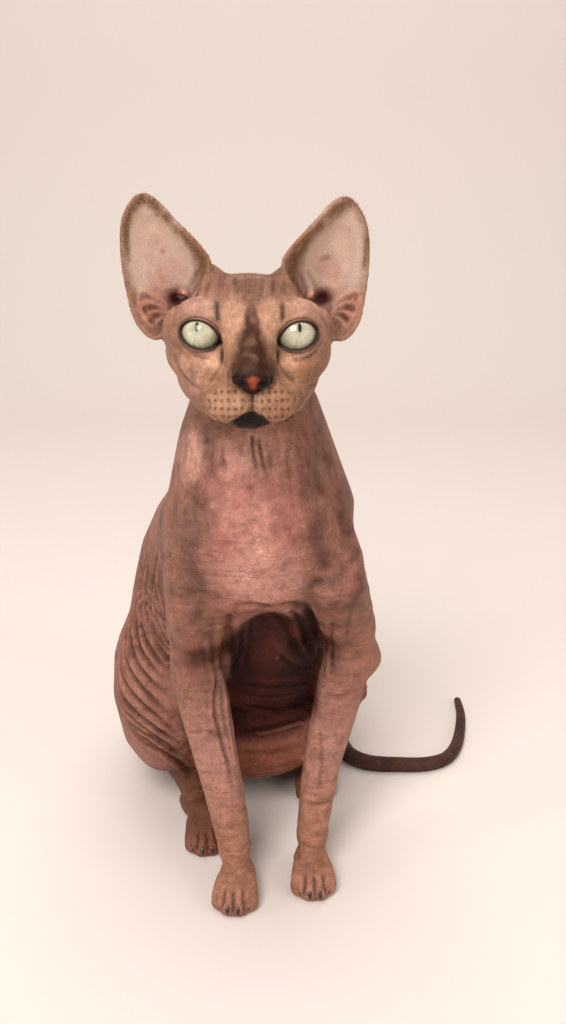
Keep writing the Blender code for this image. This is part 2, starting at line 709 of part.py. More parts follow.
def finish(obj, name, home):
    obj.name = name
    obj.data.name = name
    colour, roughness = FINISHES.get(name.split("_")[0], SKIN)
    obj.data.materials.clear()
    obj.data.materials.append(material(name, colour, roughness))
    obj.data.shade_smooth()
    for old in obj.users_collection:
        old.objects.unlink(obj)
    home.objects.link(obj)


def centre_on_floor(objects):
    """Set the middle of the whole model's box over the origin, at floor level."""
    corners = np.array([v.co[:] for obj in objects for v in obj.data.vertices])
    low, high = corners.min(axis=0), corners.max(axis=0)
    shift = Matrix.Translation((-(low[0] + high[0]) / 2, -(low[1] + high[1]) / 2, -low[2]))
    for obj in objects:
        obj.data.transform(shift)


def main():
    clear_scene()
    home = collection("sphynx_cat")
    bench = collection("cutters", hidden=True)
    body = thinned(flesh_object(bench), FLESH_TRIANGLES)
    pieces = {}
    for name, region in CUTS:
        pieces[name], body = parted(body, region, bench)
    pieces["head"] = carve_head(pieces["head"], bench)
    for side, hand in ((-1, "right"), (1, "left")):
        pieces["ear_" + hand] = settled(ear_object(side, bench))
        pieces["eye_" + hand] = eye_object(side, bench)
    for name, height in WRISTS.items():
        paw = name.replace("leg", "paw")
        pieces[paw], pieces[name] = parted(pieces[name], within([((0, 0, height), (0, 0, 1))]), bench)
    for name, back in HEELS.items():
        paw = name.replace("leg", "paw")
        sole = within([((0, back, 0), (0, 1, 0.25)), ((0, 0, INSTEP), (0, 0, 1))])
        pieces[paw], pieces[name] = parted(pieces[name], sole, bench)
    for name, frame, reach in paws():
        pieces[name] = claws(pieces[name], frame, reach, bench)
    pieces["torso"] = body
    for name, piece in tail_pieces(body, bench):
        pieces[name] = piece
    for name, piece in pieces.items():
        if name.split("_")[0] not in ("head", "neck", "ear", "eye"):
            pieces[name] = floored(piece, bench)
    centre_on_floor(list(pieces.values()))
    for name, piece in pieces.items():
        finish(piece, name, home)


main()
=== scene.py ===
import math

import bmesh
import bpy
import numpy as np
from mathutils import Euler, Matrix, Vector, noise
from mathutils.bvhtree import BVHTree


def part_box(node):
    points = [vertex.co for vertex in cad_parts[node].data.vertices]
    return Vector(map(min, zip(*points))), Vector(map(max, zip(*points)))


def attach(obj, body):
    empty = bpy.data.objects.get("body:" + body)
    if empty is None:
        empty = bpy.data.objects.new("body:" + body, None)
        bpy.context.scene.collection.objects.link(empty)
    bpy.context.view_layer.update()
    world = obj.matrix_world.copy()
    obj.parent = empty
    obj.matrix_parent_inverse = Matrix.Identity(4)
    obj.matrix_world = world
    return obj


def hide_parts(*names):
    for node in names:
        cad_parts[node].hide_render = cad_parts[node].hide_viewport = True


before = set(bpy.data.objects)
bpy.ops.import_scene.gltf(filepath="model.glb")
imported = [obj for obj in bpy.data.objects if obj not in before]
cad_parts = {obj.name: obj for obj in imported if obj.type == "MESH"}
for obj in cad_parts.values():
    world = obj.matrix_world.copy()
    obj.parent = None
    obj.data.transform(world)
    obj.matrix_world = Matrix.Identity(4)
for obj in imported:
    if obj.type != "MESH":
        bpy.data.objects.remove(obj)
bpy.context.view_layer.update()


# The viewpoint. The picture was taken from just above the cat's eyes, 0.43 m in front of its face, with
# the lens turned down by twenty degrees. Folds and markings are laid on the skin from here.
FROM_EYES = Vector((0.0144, -0.4227, 0.0748))
LENS_PITCH = math.radians(20.0)
FOCAL_PIXELS = 1000.0
PICTURE = (566, 1024)


def middle_of(node):
    low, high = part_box(node)
    return (low + high) / 2


BETWEEN_EYES = (middle_of("eye_left") + middle_of("eye_right")) / 2
VIEWPOINT = BETWEEN_EYES + FROM_EYES
lens = bpy.data.cameras.new("viewpoint")
lens.sensor_width = 36.0
lens.lens = FOCAL_PIXELS * 36.0 / PICTURE[1]
lens.clip_start = 0.01
camera = bpy.data.objects.new("viewpoint", lens)
camera.location = VIEWPOINT
camera.rotation_euler = (math.pi / 2 - LENS_PITCH, 0.0, 0.0)
bpy.context.scene.collection.objects.link(camera)
bpy.context.scene.camera = camera


def sight(x, y):
    """The direction from the viewpoint through a pixel of the picture."""
    across = (x - PICTURE[0] / 2) / FOCAL_PIXELS
    up = (PICTURE[1] / 2 - y) / FOCAL_PIXELS
    ahead = math.cos(LENS_PITCH) + up * math.sin(LENS_PITCH)
    return Vector((across, ahead, up * math.cos(LENS_PITCH) - math.sin(LENS_PITCH))).normalized()


# The skin. A sphynx is bare, so its skin is the whole surface: warm, loose and a few millimetres thick
# over the flesh. The solid forms are fused into one sheet without seams, and their facets are worn away.
FLESH = [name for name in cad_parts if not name.startswith("eye")]
TUCKED = ("head", "ear_left", "ear_right", "tail_middle", "tail_far", "tail_tip")
BROAD_GRAIN = 2.4
FINE_GRAIN = 0.85
SWELL = 0.3                 # the solids are swollen by this to close the gaps between them


def stepped(values, start, end):
    """0 before start and 1 after end, with a soft step between."""
    part = np.clip((values - start) / (end - start), 0.0, 1.0)
    return part * part * (3 - 2 * part)


def placed(place, pitch=0.0, roll=0.0, yaw=0.0):
    turn = Euler((math.radians(-pitch), math.radians(roll), math.radians(yaw)))
    return Matrix.Translation(Vector(place)) @ turn.to_matrix().to_4x4()


# The head's own frame in metres, with its origin between the fronts of the eyes, and the body's
HEAD = placed(BETWEEN_EYES, pitch=12.0, roll=1.0, yaw=2.6) @ Matrix.Translation((0.0, -0.0079, 0.0))
BODY = placed((BETWEEN_EYES.x + 0.0054, BETWEEN_EYES.y + 0.0223, 0.0), yaw=8.5)


def seen_in(own_frame, places):
    """World places in millimetres, as millimetres in another frame."""
    turn = np.array(own_frame.inverted())
    return places @ turn[:3, :3].T + turn[:3, 3] * 1000.0


def object_of(name, mesh):
    obj = bpy.data.objects.new(name, mesh)
    bpy.context.scene.collection.objects.link(obj)
    return obj


def taken(obj):
    """The mesh of an object with its modifiers applied. The object is used up."""
    graph = bpy.context.evaluated_depsgraph_get()
    mesh = bpy.data.meshes.new_from_object(obj.evaluated_get(graph))
    bpy.data.objects.remove(obj)
    return mesh


def gathered(meshes):
    whole = bmesh.new()
    for mesh in meshes:
        whole.from_mesh(mesh)
    bmesh.ops.remove_doubles(whole, verts=whole.verts, dist=0.000001)
    mesh = bpy.data.meshes.new("gathered")
    whole.to_mesh(mesh)
    whole.free()
    return mesh


def fused(mesh, grain, swell=0.0):
    """One closed sheet round everything in a mesh."""
    obj = object_of("fusing", mesh)
    if swell:
        grow = obj.modifiers.new("swell", "DISPLACE")
        grow.strength = swell / 1000.0
        grow.mid_level = 0.0
    fuse = obj.modifiers.new("fuse", "REMESH")
    fuse.mode = "VOXEL"
    fuse.voxel_size = grain / 1000.0
    return taken(obj)


def places_of(mesh):
    flat = np.empty(len(mesh.vertices) * 3, np.float32)
    mesh.vertices.foreach_get("co", flat)
    return flat.reshape(-1, 3).astype(float) * 1000.0


def set_places(mesh, places):
    mesh.vertices.foreach_set("co", (places / 1000.0).astype(np.float32).ravel())
    mesh.update()


def normals_of(mesh):
    flat = np.empty(len(mesh.vertices) * 3, np.float32)
    mesh.vertices.foreach_get("normal", flat)
    return flat.reshape(-1, 3).astype(float)


def edges_of(mesh):
    flat = np.empty(len(mesh.edges) * 2, np.int32)
    mesh.edges.foreach_get("vertices", flat)
    return flat.reshape(-1, 2)


def relaxed(places, edges, rounds, hold, swell_back=True):
    """Points drawn towards their neighbours and swollen back, so that facets go and the size stays."""
    first, second = edges[:, 0], edges[:, 1]
    count = len(places)
    shared = np.maximum(np.bincount(first, minlength=count) + np.bincount(second, minlength=count), 1)
    steps = (0.55, -0.57) if swell_back else (0.5,)
    for turn in range(rounds):
        for step in steps:
            total = np.empty_like(places)
            for axis in range(3):
                column = places[:, axis]
                total[:, axis] = (np.bincount(first, column[second], count)
                                  + np.bincount(second, column[first], count))
            places = places + (total / shared[:, None] - places) * (step * hold)[:, None]
    return places


class Dough:
    """Balls and rolls of soft material, in millimetres of their own frame, each a closed shell."""

    def __init__(self):
        ball = bmesh.new()
        bmesh.ops.create_icosphere(ball, subdivisions=3, radius=1.0)
        self.points = np.array([v.co[:] for v in ball.verts])
        self.faces = np.array([[v.index for v in f.verts] for f in ball.faces])
        ball.free()
        self.shells = []

    def ball(self, own_frame, centre, half, turn=(0, 0, 0)):
        spin = np.array(Euler([math.radians(a) for a in turn]).to_matrix())
        local = (self.points * half) @ spin.T + centre
        matrix = np.array(own_frame)
        self.shells.append(local @ matrix[:3, :3].T / 1000.0 + matrix[:3, 3])

    def pair(self, own_frame, centre, half, turn=(0, 0, 0)):
        """The same ball on the cat's left and on its right."""
        self.ball(own_frame, centre, half, turn)
        self.ball(own_frame, (-centre[0], centre[1], centre[2]), half, (turn[0], -turn[1], -turn[2]))

    def roll(self, own_frame, stations, steps=5):
        """Balls along a smooth path of x, y, z and radius."""
        for x, y, z, radius in smooth_line(stations, steps):
            self.ball(own_frame, (x, y, z), (radius, radius, radius))

    def mesh(self):
        count = len(self.points)
        faces = [self.faces + i * count for i in range(len(self.shells))]
        mesh = bpy.data.meshes.new("dough")
        mesh.from_pydata(np.concatenate(self.shells).tolist(), [], np.concatenate(faces).tolist())
        return mesh


def smooth_line(stations, steps):
    """A smooth curve through rows of numbers, with steps samples from each row to the next."""
    rows = np.array([stations[0], *stations, stations[-1]], float)
    found = []
    for before, start, end, after in zip(rows, rows[1:], rows[2:], rows[3:]):
        for t in np.arange(steps) / steps:
            found.append(0.5 * (2 * start + (end - before) * t
                                + (2 * before - 5 * start + 4 * end - after) * t**2
                                + (3 * start - before - 3 * end + after) * t**3))
    return np.array([*found, rows[-1]])


def head_share(places):
    """1 on the head and 0 on the neck below it."""
    own = seen_in(HEAD, places)
    return stepped(own[:, 2] - 0.45 * own[:, 1], -54.0, -46.0)


def foot_share(places):
    return 1 - stepped(places[:, 2], 20.0, 30.0)


# The body without its fine parts: facets are worn off, and what the fine parts cover is tucked in
broad = fused(gathered([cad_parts[name].data for name in FLESH]), BROAD_GRAIN, SWELL)
shape = places_of(broad)
fine_share = np.maximum(head_share(shape), foot_share(shape))
shape = relaxed(shape, edges_of(broad), 60, 1 - 0.9 * fine_share)
set_places(broad, shape)
set_places(broad, shape - normals_of(broad) * (2.6 * fine_share)[:, None])
rounder = object_of("broad", broad).modifiers.new("rounder", "SUBSURF")
rounder.levels = 1
rounder.render_levels = 1
broad = taken(rounder.id_data)

# Ear cups: the lumps round each canal and the crinkled pocket on the outer edge, which every cat has
cups = Dough()
cups.pair(HEAD, (28.5, 26.0, 9.0), (3.6, 3.0, 2.4))
EAR_LUMPS = {
    "ear_right": (([(182.4, 293.9), (182.6, 294)], 2.3), ([(167, 305), (156, 297), (146, 292), (140, 291)], 1.3),
                  ([(166, 309), (155, 304), (147, 303), (142, 305)], 1.3),
                  ([(167, 313), (158, 312), (151, 314), (147, 318)], 1.3),
                  ([(170, 316), (163, 318), (158, 322), (155, 327)], 1.2),
                  ([(138, 298), (139, 308), (144, 319), (151, 328)], 1.0)),
    "ear_left": (([(311.3, 295), (311.5, 295.1)], 2.3), ([(333, 305), (343, 297), (352, 292), (359, 291)], 1.3),
                 ([(334, 309), (344, 304), (352, 303), (357, 305)], 1.3),
                 ([(332, 314), (341, 312), (348, 314), (352, 318)], 1.3),
                 ([(330, 317), (337, 318), (342, 322), (345, 327)], 1.2),
                 ([(360, 298), (358, 308), (353, 319), (347, 328)], 1.0))}
WORLD = Matrix.Identity(4)
for node, lumps in EAR_LUMPS.items():
    for pixels, radius in lumps:
        for x, y in smooth_line(pixels, 6):
            found, place, normal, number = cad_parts[node].ray_cast(VIEWPOINT, sight(x, y))
            if found:
                cups.ball(WORLD, (place + 0.0006 * normal) * 1000, (radius, radius, radius))

fine_nodes = [name for name in FLESH if name in TUCKED or name.endswith("paw")]
fine_meshes = [fused(gathered([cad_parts[name].data]), 0.7, SWELL) for name in fine_nodes]
sheet = fused(gathered([broad, cups.mesh(), *fine_meshes]), FINE_GRAIN)
whole = bmesh.new()
whole.from_mesh(sheet)
left = set(whole.verts)
shells = []
while left:
    stack = [left.pop()]
    shell = list(stack)
    while stack:
        for edge in stack.pop().link_edges:
            for vert in edge.verts:
                if vert in left:
                    left.discard(vert)
                    shell.append(vert)
                    stack.append(vert)
    shells.append(shell)
shells.sort(key=len)
for shell in shells[:-1]:
    bmesh.ops.delete(whole, geom=shell, context="VERTS")
whole.to_mesh(sheet)
whole.free()

shape = places_of(sheet)
edges = edges_of(sheet)
own = seen_in(HEAD, shape)
ear_share = stepped(own[:, 2], 26.0, 34.0)
face_share = head_share(shape) * (1 - ear_share) * (1 - stepped(own[:, 1], 8.0, 26.0))
hold = 1 - 0.55 * face_share - 0.5 * ear_share
shape = relaxed(shape, edges, 14, hold)
collar = np.exp(-(((own[:, 2] - 0.45 * own[:, 1] + 50.0) / 9.0) ** 2)) * stepped(own[:, 1], 10.0, 35.0)
shape = relaxed(shape, edges, 22, collar)
set_places(sheet, shape)
shape = shape - normals_of(sheet) * (SWELL * 0.8)
set_places(sheet, shape)

# Loose skin. A sphynx has more skin than it needs, so it lies in creases: down the throat, in the hollow
# between the front legs, in hanging folds along the flanks, round the eyes and over the crown.
skin = object_of("skin", sheet)
tree = BVHTree.FromObject(skin, bpy.context.evaluated_depsgraph_get())
outward = normals_of(sheet)
dent = np.zeros(len(shape))
creases = []


def on_skin(pixels, steps=4):
    """A smooth line on the skin through pixels of the picture."""
    hits = [tree.ray_cast(VIEWPOINT, sight(x, y))[0] for x, y in smooth_line(pixels, steps)]
    return np.array([hit[:] for hit in hits if hit]) * 1000.0


def nearest(places):
    return np.array([tree.find_nearest(Vector(place / 1000.0))[0][:] for place in places]) * 1000.0


def round_skin(own_frame, points, steps=4):
    """A smooth line through points of an own frame, moved to the nearest skin."""
    matrix = np.array(own_frame)
    rows = smooth_line(points, steps)
    return nearest(rows @ matrix[:3, :3].T + matrix[:3, 3] * 1000.0)


def other_side(path):
    """The same line on the other side of the body."""
    own = seen_in(BODY, path) * (-1, 1, 1)
    matrix = np.array(BODY)
    return nearest(own @ matrix[:3, :3].T + matrix[:3, 3] * 1000.0)


def beside(places, path, reach):
    """Which places lie within reach of a path, how far from it, and how far along it from 0 to 1."""
    near = np.flatnonzero(((places > path.min(0) - reach) & (places < path.max(0) + reach)).all(1))
    points = places[near]
    away = np.full(len(near), float(reach))
    along = np.zeros(len(near))
    steps = np.diff(path, axis=0)
    lengths = np.maximum(np.linalg.norm(steps, axis=1), 0.001)
    done = 0.0
    for start, step, length in zip(path, steps, lengths):
        part = np.clip((points - start) @ step / length**2, 0.0, 1.0)
        gap = np.linalg.norm(points - start - part[:, None] * step, axis=1)
        closer = gap < away
        away[closer] = gap[closer]
        along[closer] = (done + part[closer] * length) / lengths.sum()
        done += length
    kept = away < reach
    return near[kept], away[kept], along[kept]


def tapered(along, ends):
    return stepped(along, 0.0, ends) * (1 - stepped(along, 1 - ends, 1.0))


def groove(path, depth, width, lip=0.35, ends=0.25, shade=0.6):
    """A crease with a soft lip on both sides. A depth under zero makes a ridge."""
    if len(path) < 2:
        return
    near, away, along = beside(shape, path, 3.2 * width)
    valley = np.exp(-((away / width) ** 2))
    ridge = np.exp(-(((away - 1.9 * width) / (0.9 * width)) ** 2))
    dent[near] += tapered(along, ends) * depth * (lip * ridge - valley)
    creases.append((path, width, ends, shade if depth > 0 else -shade))


def hollow(centre, radius, depth):
    """A round soft dent, or a swelling for a depth under zero."""
    away = np.linalg.norm(shape - centre, axis=1)
    dent[:] -= depth * np.exp(-((away / radius) ** 2))


# Throat
groove(on_skin([(251.3, 431), (255, 465), (258.8, 486)]), 0.9, 0.9, lip=0.5, ends=0.4, shade=0.15)
groove(on_skin([(256.3, 431), (261.3, 455), (268, 484)]), 0.7, 0.9, lip=0.5, ends=0.4, shade=0.1)
groove(on_skin([(221.3, 440), (225, 480)]), 0.5, 1.8, ends=0.4, shade=0.15)
groove(on_skin([(285, 436), (290, 484)]), 0.5, 1.8, ends=0.4, shade=0.15)
rng = np.random.default_rng(7)
for x in np.linspace(198, 322, 15):
    top = 436 + 0.0035 * (x - 258) ** 2 + rng.uniform(-3, 3)
    foot = top + rng.uniform(18, 42)
    lean = (x - 258) * 0.07
    groove(on_skin([(x, top), (x + lean, (top + foot) / 2), (x + 2 * lean, foot)]), 0.16, 1.1, lip=0.5, ends=0.4, shade=0.05)

# The hollow between the front legs, where the loose skin of the belly hangs in folds
HOLLOW_FOLDS = (
    ([(229, 611), (245, 605), (270, 607), (295, 605), (309, 617), (318, 642)], 1.6, 2.6, 0.7),
    ([(231, 612), (226, 640), (226, 667)], 2.4, 2.4, 1.0),
    ([(302.5, 598), (317.5, 630), (320, 655)], 1.6, 1.5, 0.9),
    ([(287.5, 607.5), (305, 630), (312.5, 662.5)], 1.9, 1.9, 0.9),
    ([(270, 615), (290, 640), (310, 665)], 1.3, 1.8, 0.7),
    ([(277.5, 655), (295, 667.5), (315, 667.5)], 1.2, 1.5, 0.7),
    ([(245, 628), (240, 655), (230, 677)], 1.2, 1.7, 0.7),
    ([(254, 622), (251, 645), (243, 668)], 0.8, 1.5, 0.5),
    ([(232.5, 682.5), (270, 687.5), (312.5, 684)], 1.0, 1.3, 0.6),
    ([(231, 690), (270, 697.5), (312.5, 690)], 0.9, 1.2, 0.5),
    ([(235, 702.5), (275, 710), (312.5, 700)], 1.1, 1.6, 0.6),
    ([(236, 730), (270, 728), (312, 715)], 2.2, 2.2, 0.9),
    ([(240, 752), (275, 751), (305, 742)], 0.4, 1.6, 0.2))
for pixels, depth, width, shade in HOLLOW_FOLDS:
    groove(on_skin(pixels), depth, width, lip=0.25, ends=0.18, shade=shade)

for pixel, radius, depth in (((237, 655), 12.0, 3.0), ((303, 645), 12.0, 3.0), ((270, 625), 16.0, 3.5)):
    hollow(on_skin([pixel, pixel])[0], radius, depth)

# Folds that hang from the flank to the crook of the leg, from the uppermost to the lowest, on both sides
FLANK_GUIDES = np.array([
    [(159, 547), (156, 580), (164, 620), (176, 650)],
    [(138, 580), (135, 620), (143, 655), (170, 685)],
    [(118, 665), (121, 695), (143, 718), (182, 745)],
    [(122, 716), (138, 738), (168, 755), (190, 770)]])
for row in smooth_line(FLANK_GUIDES.reshape(4, -1), 4):
    line = row.reshape(-1, 2) + rng.uniform(-1.2, 1.2, (4, 2))
    path = on_skin(line)
    depth = rng.uniform(0.9, 1.7)
    groove(path, depth, 1.5, lip=0.6, ends=0.3, shade=1.0)
    if len(path) > 1:
        groove(other_side(path), depth, 1.5, lip=0.6, ends=0.3, shade=1.0)

# Haunches: the skin gathers in arcs over each thigh and behind the elbow
for side in (-1, 1):
    for ring in range(6):
        reach = 56 + 7.5 * ring
        arc = [(side * 96, 104 - reach * math.cos(a), 74 + reach * 1.02 * math.sin(a))
               for a in np.linspace(0.55, 2.0 - 0.08 * ring, 7) + rng.uniform(-0.05, 0.05)]
        groove(round_skin(BODY, arc), rng.uniform(0.5, 1.0), 2.0, lip=0.5, ends=0.35, shade=0.5)
    for step in range(4):
        line = [(side * 80, 26 + 9 * step, 196 - 4 * step), (side * 80, 34 + 9 * step, 168 - 2 * step),
                (side * 80, 44 + 8 * step, 140 + 2 * step)]
        groove(round_skin(BODY, line), rng.uniform(0.4, 0.8), 1.8, lip=0.5, ends=0.35, shade=0.4)

# Nape and back: rings round the neck, a few slack folds between the shoulders and over the rump
for step in range(7):
    height = 262 - 11 * step
    back = 80 + 8 * step
    sweep = [(-14 + 62 * math.sin(a), 28 + back * math.cos(a), height - 8 * math.cos(a))
             for a in np.linspace(-1.25, 1.25, 7) + rng.uniform(-0.1, 0.1)]
    groove(round_skin(Matrix.Translation(VIEWPOINT - Vector((0, -0.445, 0.377))), sweep),
           rng.uniform(0.5, 0.9), 2.1, lip=0.5, ends=0.35, shade=0.45)
for step in range(5):
    line = [(-46, 190, 120 - 16 * step), (0, 230, 112 - 15 * step), (46, 190, 122 - 16 * step)]
    groove(round_skin(BODY, line), rng.uniform(0.3, 0.6), 2.4, lip=0.5, ends=0.4, shade=0.35)

# Upper arms and forelegs: tendons and creases that run down to the paw
ARM_LINES = (
    ([(205, 635), (212.5, 680), (212.5, 717.5)], -0.7, 1.6),
    ([(222.5, 662.5), (216, 685), (215, 715), (225, 755), (230, 777)], 0.8, 1.2),
    ([(207.5, 647.5), (215, 710), (227.5, 760), (235, 810)], 0.35, 1.2),
    ([(223.8, 665), (227.5, 720), (240, 785)], -0.6, 1.3),
    ([(187, 733), (203, 731), (219, 733)], 0.35, 1.1),
    ([(327.5, 645), (327.5, 680)], -0.7, 1.5),
    ([(334, 612), (331, 645), (334, 680)], 0.5, 1.6),
    ([(352, 600), (346, 640)], 0.5, 2.0),
    ([(322, 692), (340, 696), (357, 690)], 0.4, 1.3),
    ([(306, 800), (318, 804), (336, 800)], 0.35, 1.2),
    ([(318, 720), (322, 760), (316, 800)], 0.3, 1.3))
for pixels, depth, width in ARM_LINES:
    groove(on_skin(pixels), depth, width, shade=0.45)

# Face: creases under the eyes, round the cheeks and whisker pads, and fans from the ears to the brows
FACE_LINES = (
    ([(182.4, 340), (190, 352), (203, 358), (213, 357)], 0.35, 0.9, 0.3),
    ([(323, 341), (314, 353), (301, 360), (290, 360)], 0.35, 0.9, 0.3),
    ([(171, 352), (184.7, 377), (202.4, 391)], 0.5, 1.3, 0.25),
    ([(335, 352), (322, 377), (305, 391)], 0.5, 1.3, 0.25),
    ([(206, 384), (200.5, 398), (210, 414), (226, 424)], 0.5, 1.0, 0.3),
    ([(298, 383), (302.5, 398), (292, 415), (274, 425)], 0.5, 1.0, 0.3),
    ([(222.4, 350), (221.5, 362), (214, 376), (207, 384)], 0.4, 1.0, 0.3),
    ([(279, 351), (279, 363), (288, 376), (298, 383)], 0.4, 1.0, 0.3),
    ([(252, 394), (252, 402), (252, 409)], 0.7, 0.7, 1.0),
    ([(252, 409), (244, 414), (236, 420), (225.6, 424.5)], 0.9, 0.7, 1.0),
    ([(252, 409), (260, 414), (266, 420), (272, 423.3)], 0.9, 0.7, 1.0),
    ([(216.9, 299.4), (217.6, 322)], 0.35, 0.9, 0.2),
    ([(282, 302.8), (282.2, 320)], 0.35, 0.9, 0.2),
    ([(229, 376), (231, 385), (240, 389), (250, 395)], 0.35, 0.8, 0.6),
    ([(276, 376), (274, 385), (264, 389), (254, 395)], 0.35, 0.8, 0.6))
for pixels, depth, width, shade in FACE_LINES:
    groove(on_skin(pixels), depth, width, lip=0.4, ends=0.15, shade=shade)
for x in (238, 249.5, 261, 271):
    lean = (x - 252) * 0.12
    groove(on_skin([(x + 2 * lean, 277), (x + lean, 288), (x, 299)]), 0.4, 1.3, lip=0.6, ends=0.3, shade=0.3)
for side, middle in ((-1, 250.5), (1, 254.5)):
    for step in (0, 2, 4):
        x = middle + side * (38 + 3.4 * step)
        y = 275 - 1.8 * step
        path = on_skin([(x, y), (x + side * 5, y + 12), (x + side * (8 + 1.5 * step), y + 26)])
        groove(path, 0.35, 1.2, lip=0.6, ends=0.3, shade=0.3)
for pixel in ((241.7, 383.2), (263.7, 384)):
    hollow(on_skin([pixel, pixel])[0], 1.5, 1.6)

# Ear canals run down and back from the foot of each cup
for pixel in ((179, 298), (321, 298)):
    hollow(on_skin([pixel, pixel])[0], 3.6, 3.5)
for pixels in ([(152, 265), (160, 285), (172, 291)], [(346, 262), (340, 283), (328, 291)]):
    groove(on_skin(pixels), -0.5, 1.6, shade=0.1)

for pixels in ([(168, 307), (156, 300), (144, 297)], [(167, 311), (156, 308), (145, 310)],
               [(168, 314.5), (160, 315), (151, 321)], [(332, 307), (343, 300), (355, 297)],
               [(333, 311.5), (343, 308), (354, 310)], [(331, 315), (340, 315), (348, 321)]):
    groove(on_skin(pixels), 0.5, 0.9, lip=0.2, ends=0.3, shade=0.45)

# Toes part on the top of each paw
PAWS = (("front_right_paw", (-24.5, -8.0), -4.0, 16.0), ("front_left_paw", (15.5, 3.5), 4.0, 16.0),
        ("hind_right_paw", (-46.0, 43.0), 8.0, 20.0), ("hind_left_paw", (19.0, 92.0), 0.0, 20.0))
PAW_HALF_WIDTH = 11.5
CENTRED = VIEWPOINT - Vector((0.0, -0.445, 0.377))
paw_frames = []
for name, (x, y), turn, reach in PAWS:
    own_frame = placed((x / 1000 + CENTRED.x, y / 1000 + CENTRED.y, 0.0), yaw=turn)
    toes = [(place * (PAW_HALF_WIDTH - 4.2), reach - 4.5 * place * place) for place in (-1, -0.36, 0.36, 1)]
    paw_frames.append((own_frame, toes))
    for (left_x, left_y), (right_x, right_y) in zip(toes, toes[1:]):
        across = (left_x + right_x) / 2
        ahead = (left_y + right_y) / 2
        line = [(across * 0.95, -ahead * 0.92, 15.5), (across, -ahead - 1.5, 13),
                (across * 1.05, -ahead - 4.5, 9), (across * 1.05, -ahead - 5, 3)]
        groove(round_skin(own_frame, line), 1.1, 1.1, lip=0.3, ends=0.3, shade=0.5)

shape = shape + outward * dent[:, None]
set_places(sheet, shape)

# The sheet sheds triangles where it is plain, and keeps them on the face, the ears and the feet
SKIN_TRIANGLES = 194000
plain_body = (1 - head_share(shape)) * (1 - 0.3 * foot_share(shape)) * (1 - 0.3 * stepped(np.abs(dent), 0.02, 0.2))
coarse = np.round(10 * (0.7 * plain_body + 0.25 * head_share(shape) * (1 - face_share))).astype(int)
group = skin.vertex_groups.new(name="coarse")
for level in range(1, 8):
    group.add(np.flatnonzero(coarse == level).tolist(), level / 10, "REPLACE")
thin = skin.modifiers.new("thin", "DECIMATE")
thin.ratio = SKIN_TRIANGLES / (2 * len(sheet.polygons))
thin.vertex_group = group.name
thin.vertex_group_factor = 0.0001
thin.use_collapse_triangulate = True
sheet = taken(skin)
shape = places_of(sheet)
outward = normals_of(sheet)
skin = object_of("skin", sheet)
sheet.shade_smooth()
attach(skin, "root")
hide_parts(*FLESH)
print("skin", len(sheet.vertices), len(sheet.polygons))


# The colour of the skin: pink where it is thin and warm, with grey-brown mottling on the neck, shoulders
# and flanks, a dark mask on the nose, and tan feet and face. Shade and light are painted in too: the hollow
# under the chest, the sides of the face and the creases get painted shade, and the chest gets painted highlights.
def linear(colour):
    parts = [int(colour[i:i + 2], 16) / 255 for i in (1, 3, 5)]
    return [p / 12.92 if p <= 0.04045 else ((p + 0.055) / 1.055) ** 2.4 for p in parts]


def cloud(size, seed):
    """Soft random patches of a size in millimetres, about -1 to 1 over the skin."""
    offset = Vector((seed * 17.3, seed * 5.1, seed * 9.7))
    return np.array([noise.noise(Vector(place) / size + offset) for place in shape]) * 1.6


def seen_at(places):
    """Where the picture shows each place."""
    away = places / 1000.0 - np.array(VIEWPOINT)
    ahead = away[:, 1] * math.cos(LENS_PITCH) - away[:, 2] * math.sin(LENS_PITCH)
    up = away[:, 1] * math.sin(LENS_PITCH) + away[:, 2] * math.cos(LENS_PITCH)
    return (PICTURE[0] / 2 + FOCAL_PIXELS * away[:, 0] / ahead, PICTURE[1] / 2 - FOCAL_PIXELS * up / ahead)


picture_x, picture_y = seen_at(shape)
towards = np.array(VIEWPOINT) * 1000.0 - shape
towards /= np.linalg.norm(towards, axis=1)[:, None]
facing = stepped((towards * outward).sum(1), 0.02, 0.25)
own = seen_in(HEAD, shape)
body = seen_in(BODY, shape)
edge_half = 4 + 14 * stepped(own[:, 1], 10.0, 45.0)
on_head = stepped(own[:, 2] - 0.45 * own[:, 1], -50 - edge_half, -50 + edge_half)
face = on_head * facing * (1 - stepped(own[:, 1], 26.0, 36.0))
tint = np.tile(linear("#97685A"), (len(shape), 1))


def paint(colour, share):
    tint[:] += (np.array(linear(colour)) - tint) * np.clip(share, 0.0, 1.0)[:, None]


def patch(x, y, wide, tall, edge=0.5):
    """1 inside an oval of the picture and 0 outside it, with a soft edge."""
    away = np.hypot((picture_x - x) / wide, (picture_y - y) / tall)
    return 1 - stepped(away, 1 - edge, 1 + edge)


def line_share(path, width, ends=0.1):
    share = np.zeros(len(shape))
    if len(path) > 1:
        near, away, along = beside(shape, path, 2.5 * width)
        share[near] = np.exp(-((away / width) ** 2)) * tapered(along, ends)
    return share


big, mid, small = cloud(26.0, 1), cloud(11.0, 2), cloud(5.0, 3)
front = stepped(-outward[:, 1], 0.0, 0.7) * (1 - on_head)
paint("#7F554B", stepped(mid + 0.6 * big, 0.0, 0.9) * 0.8)

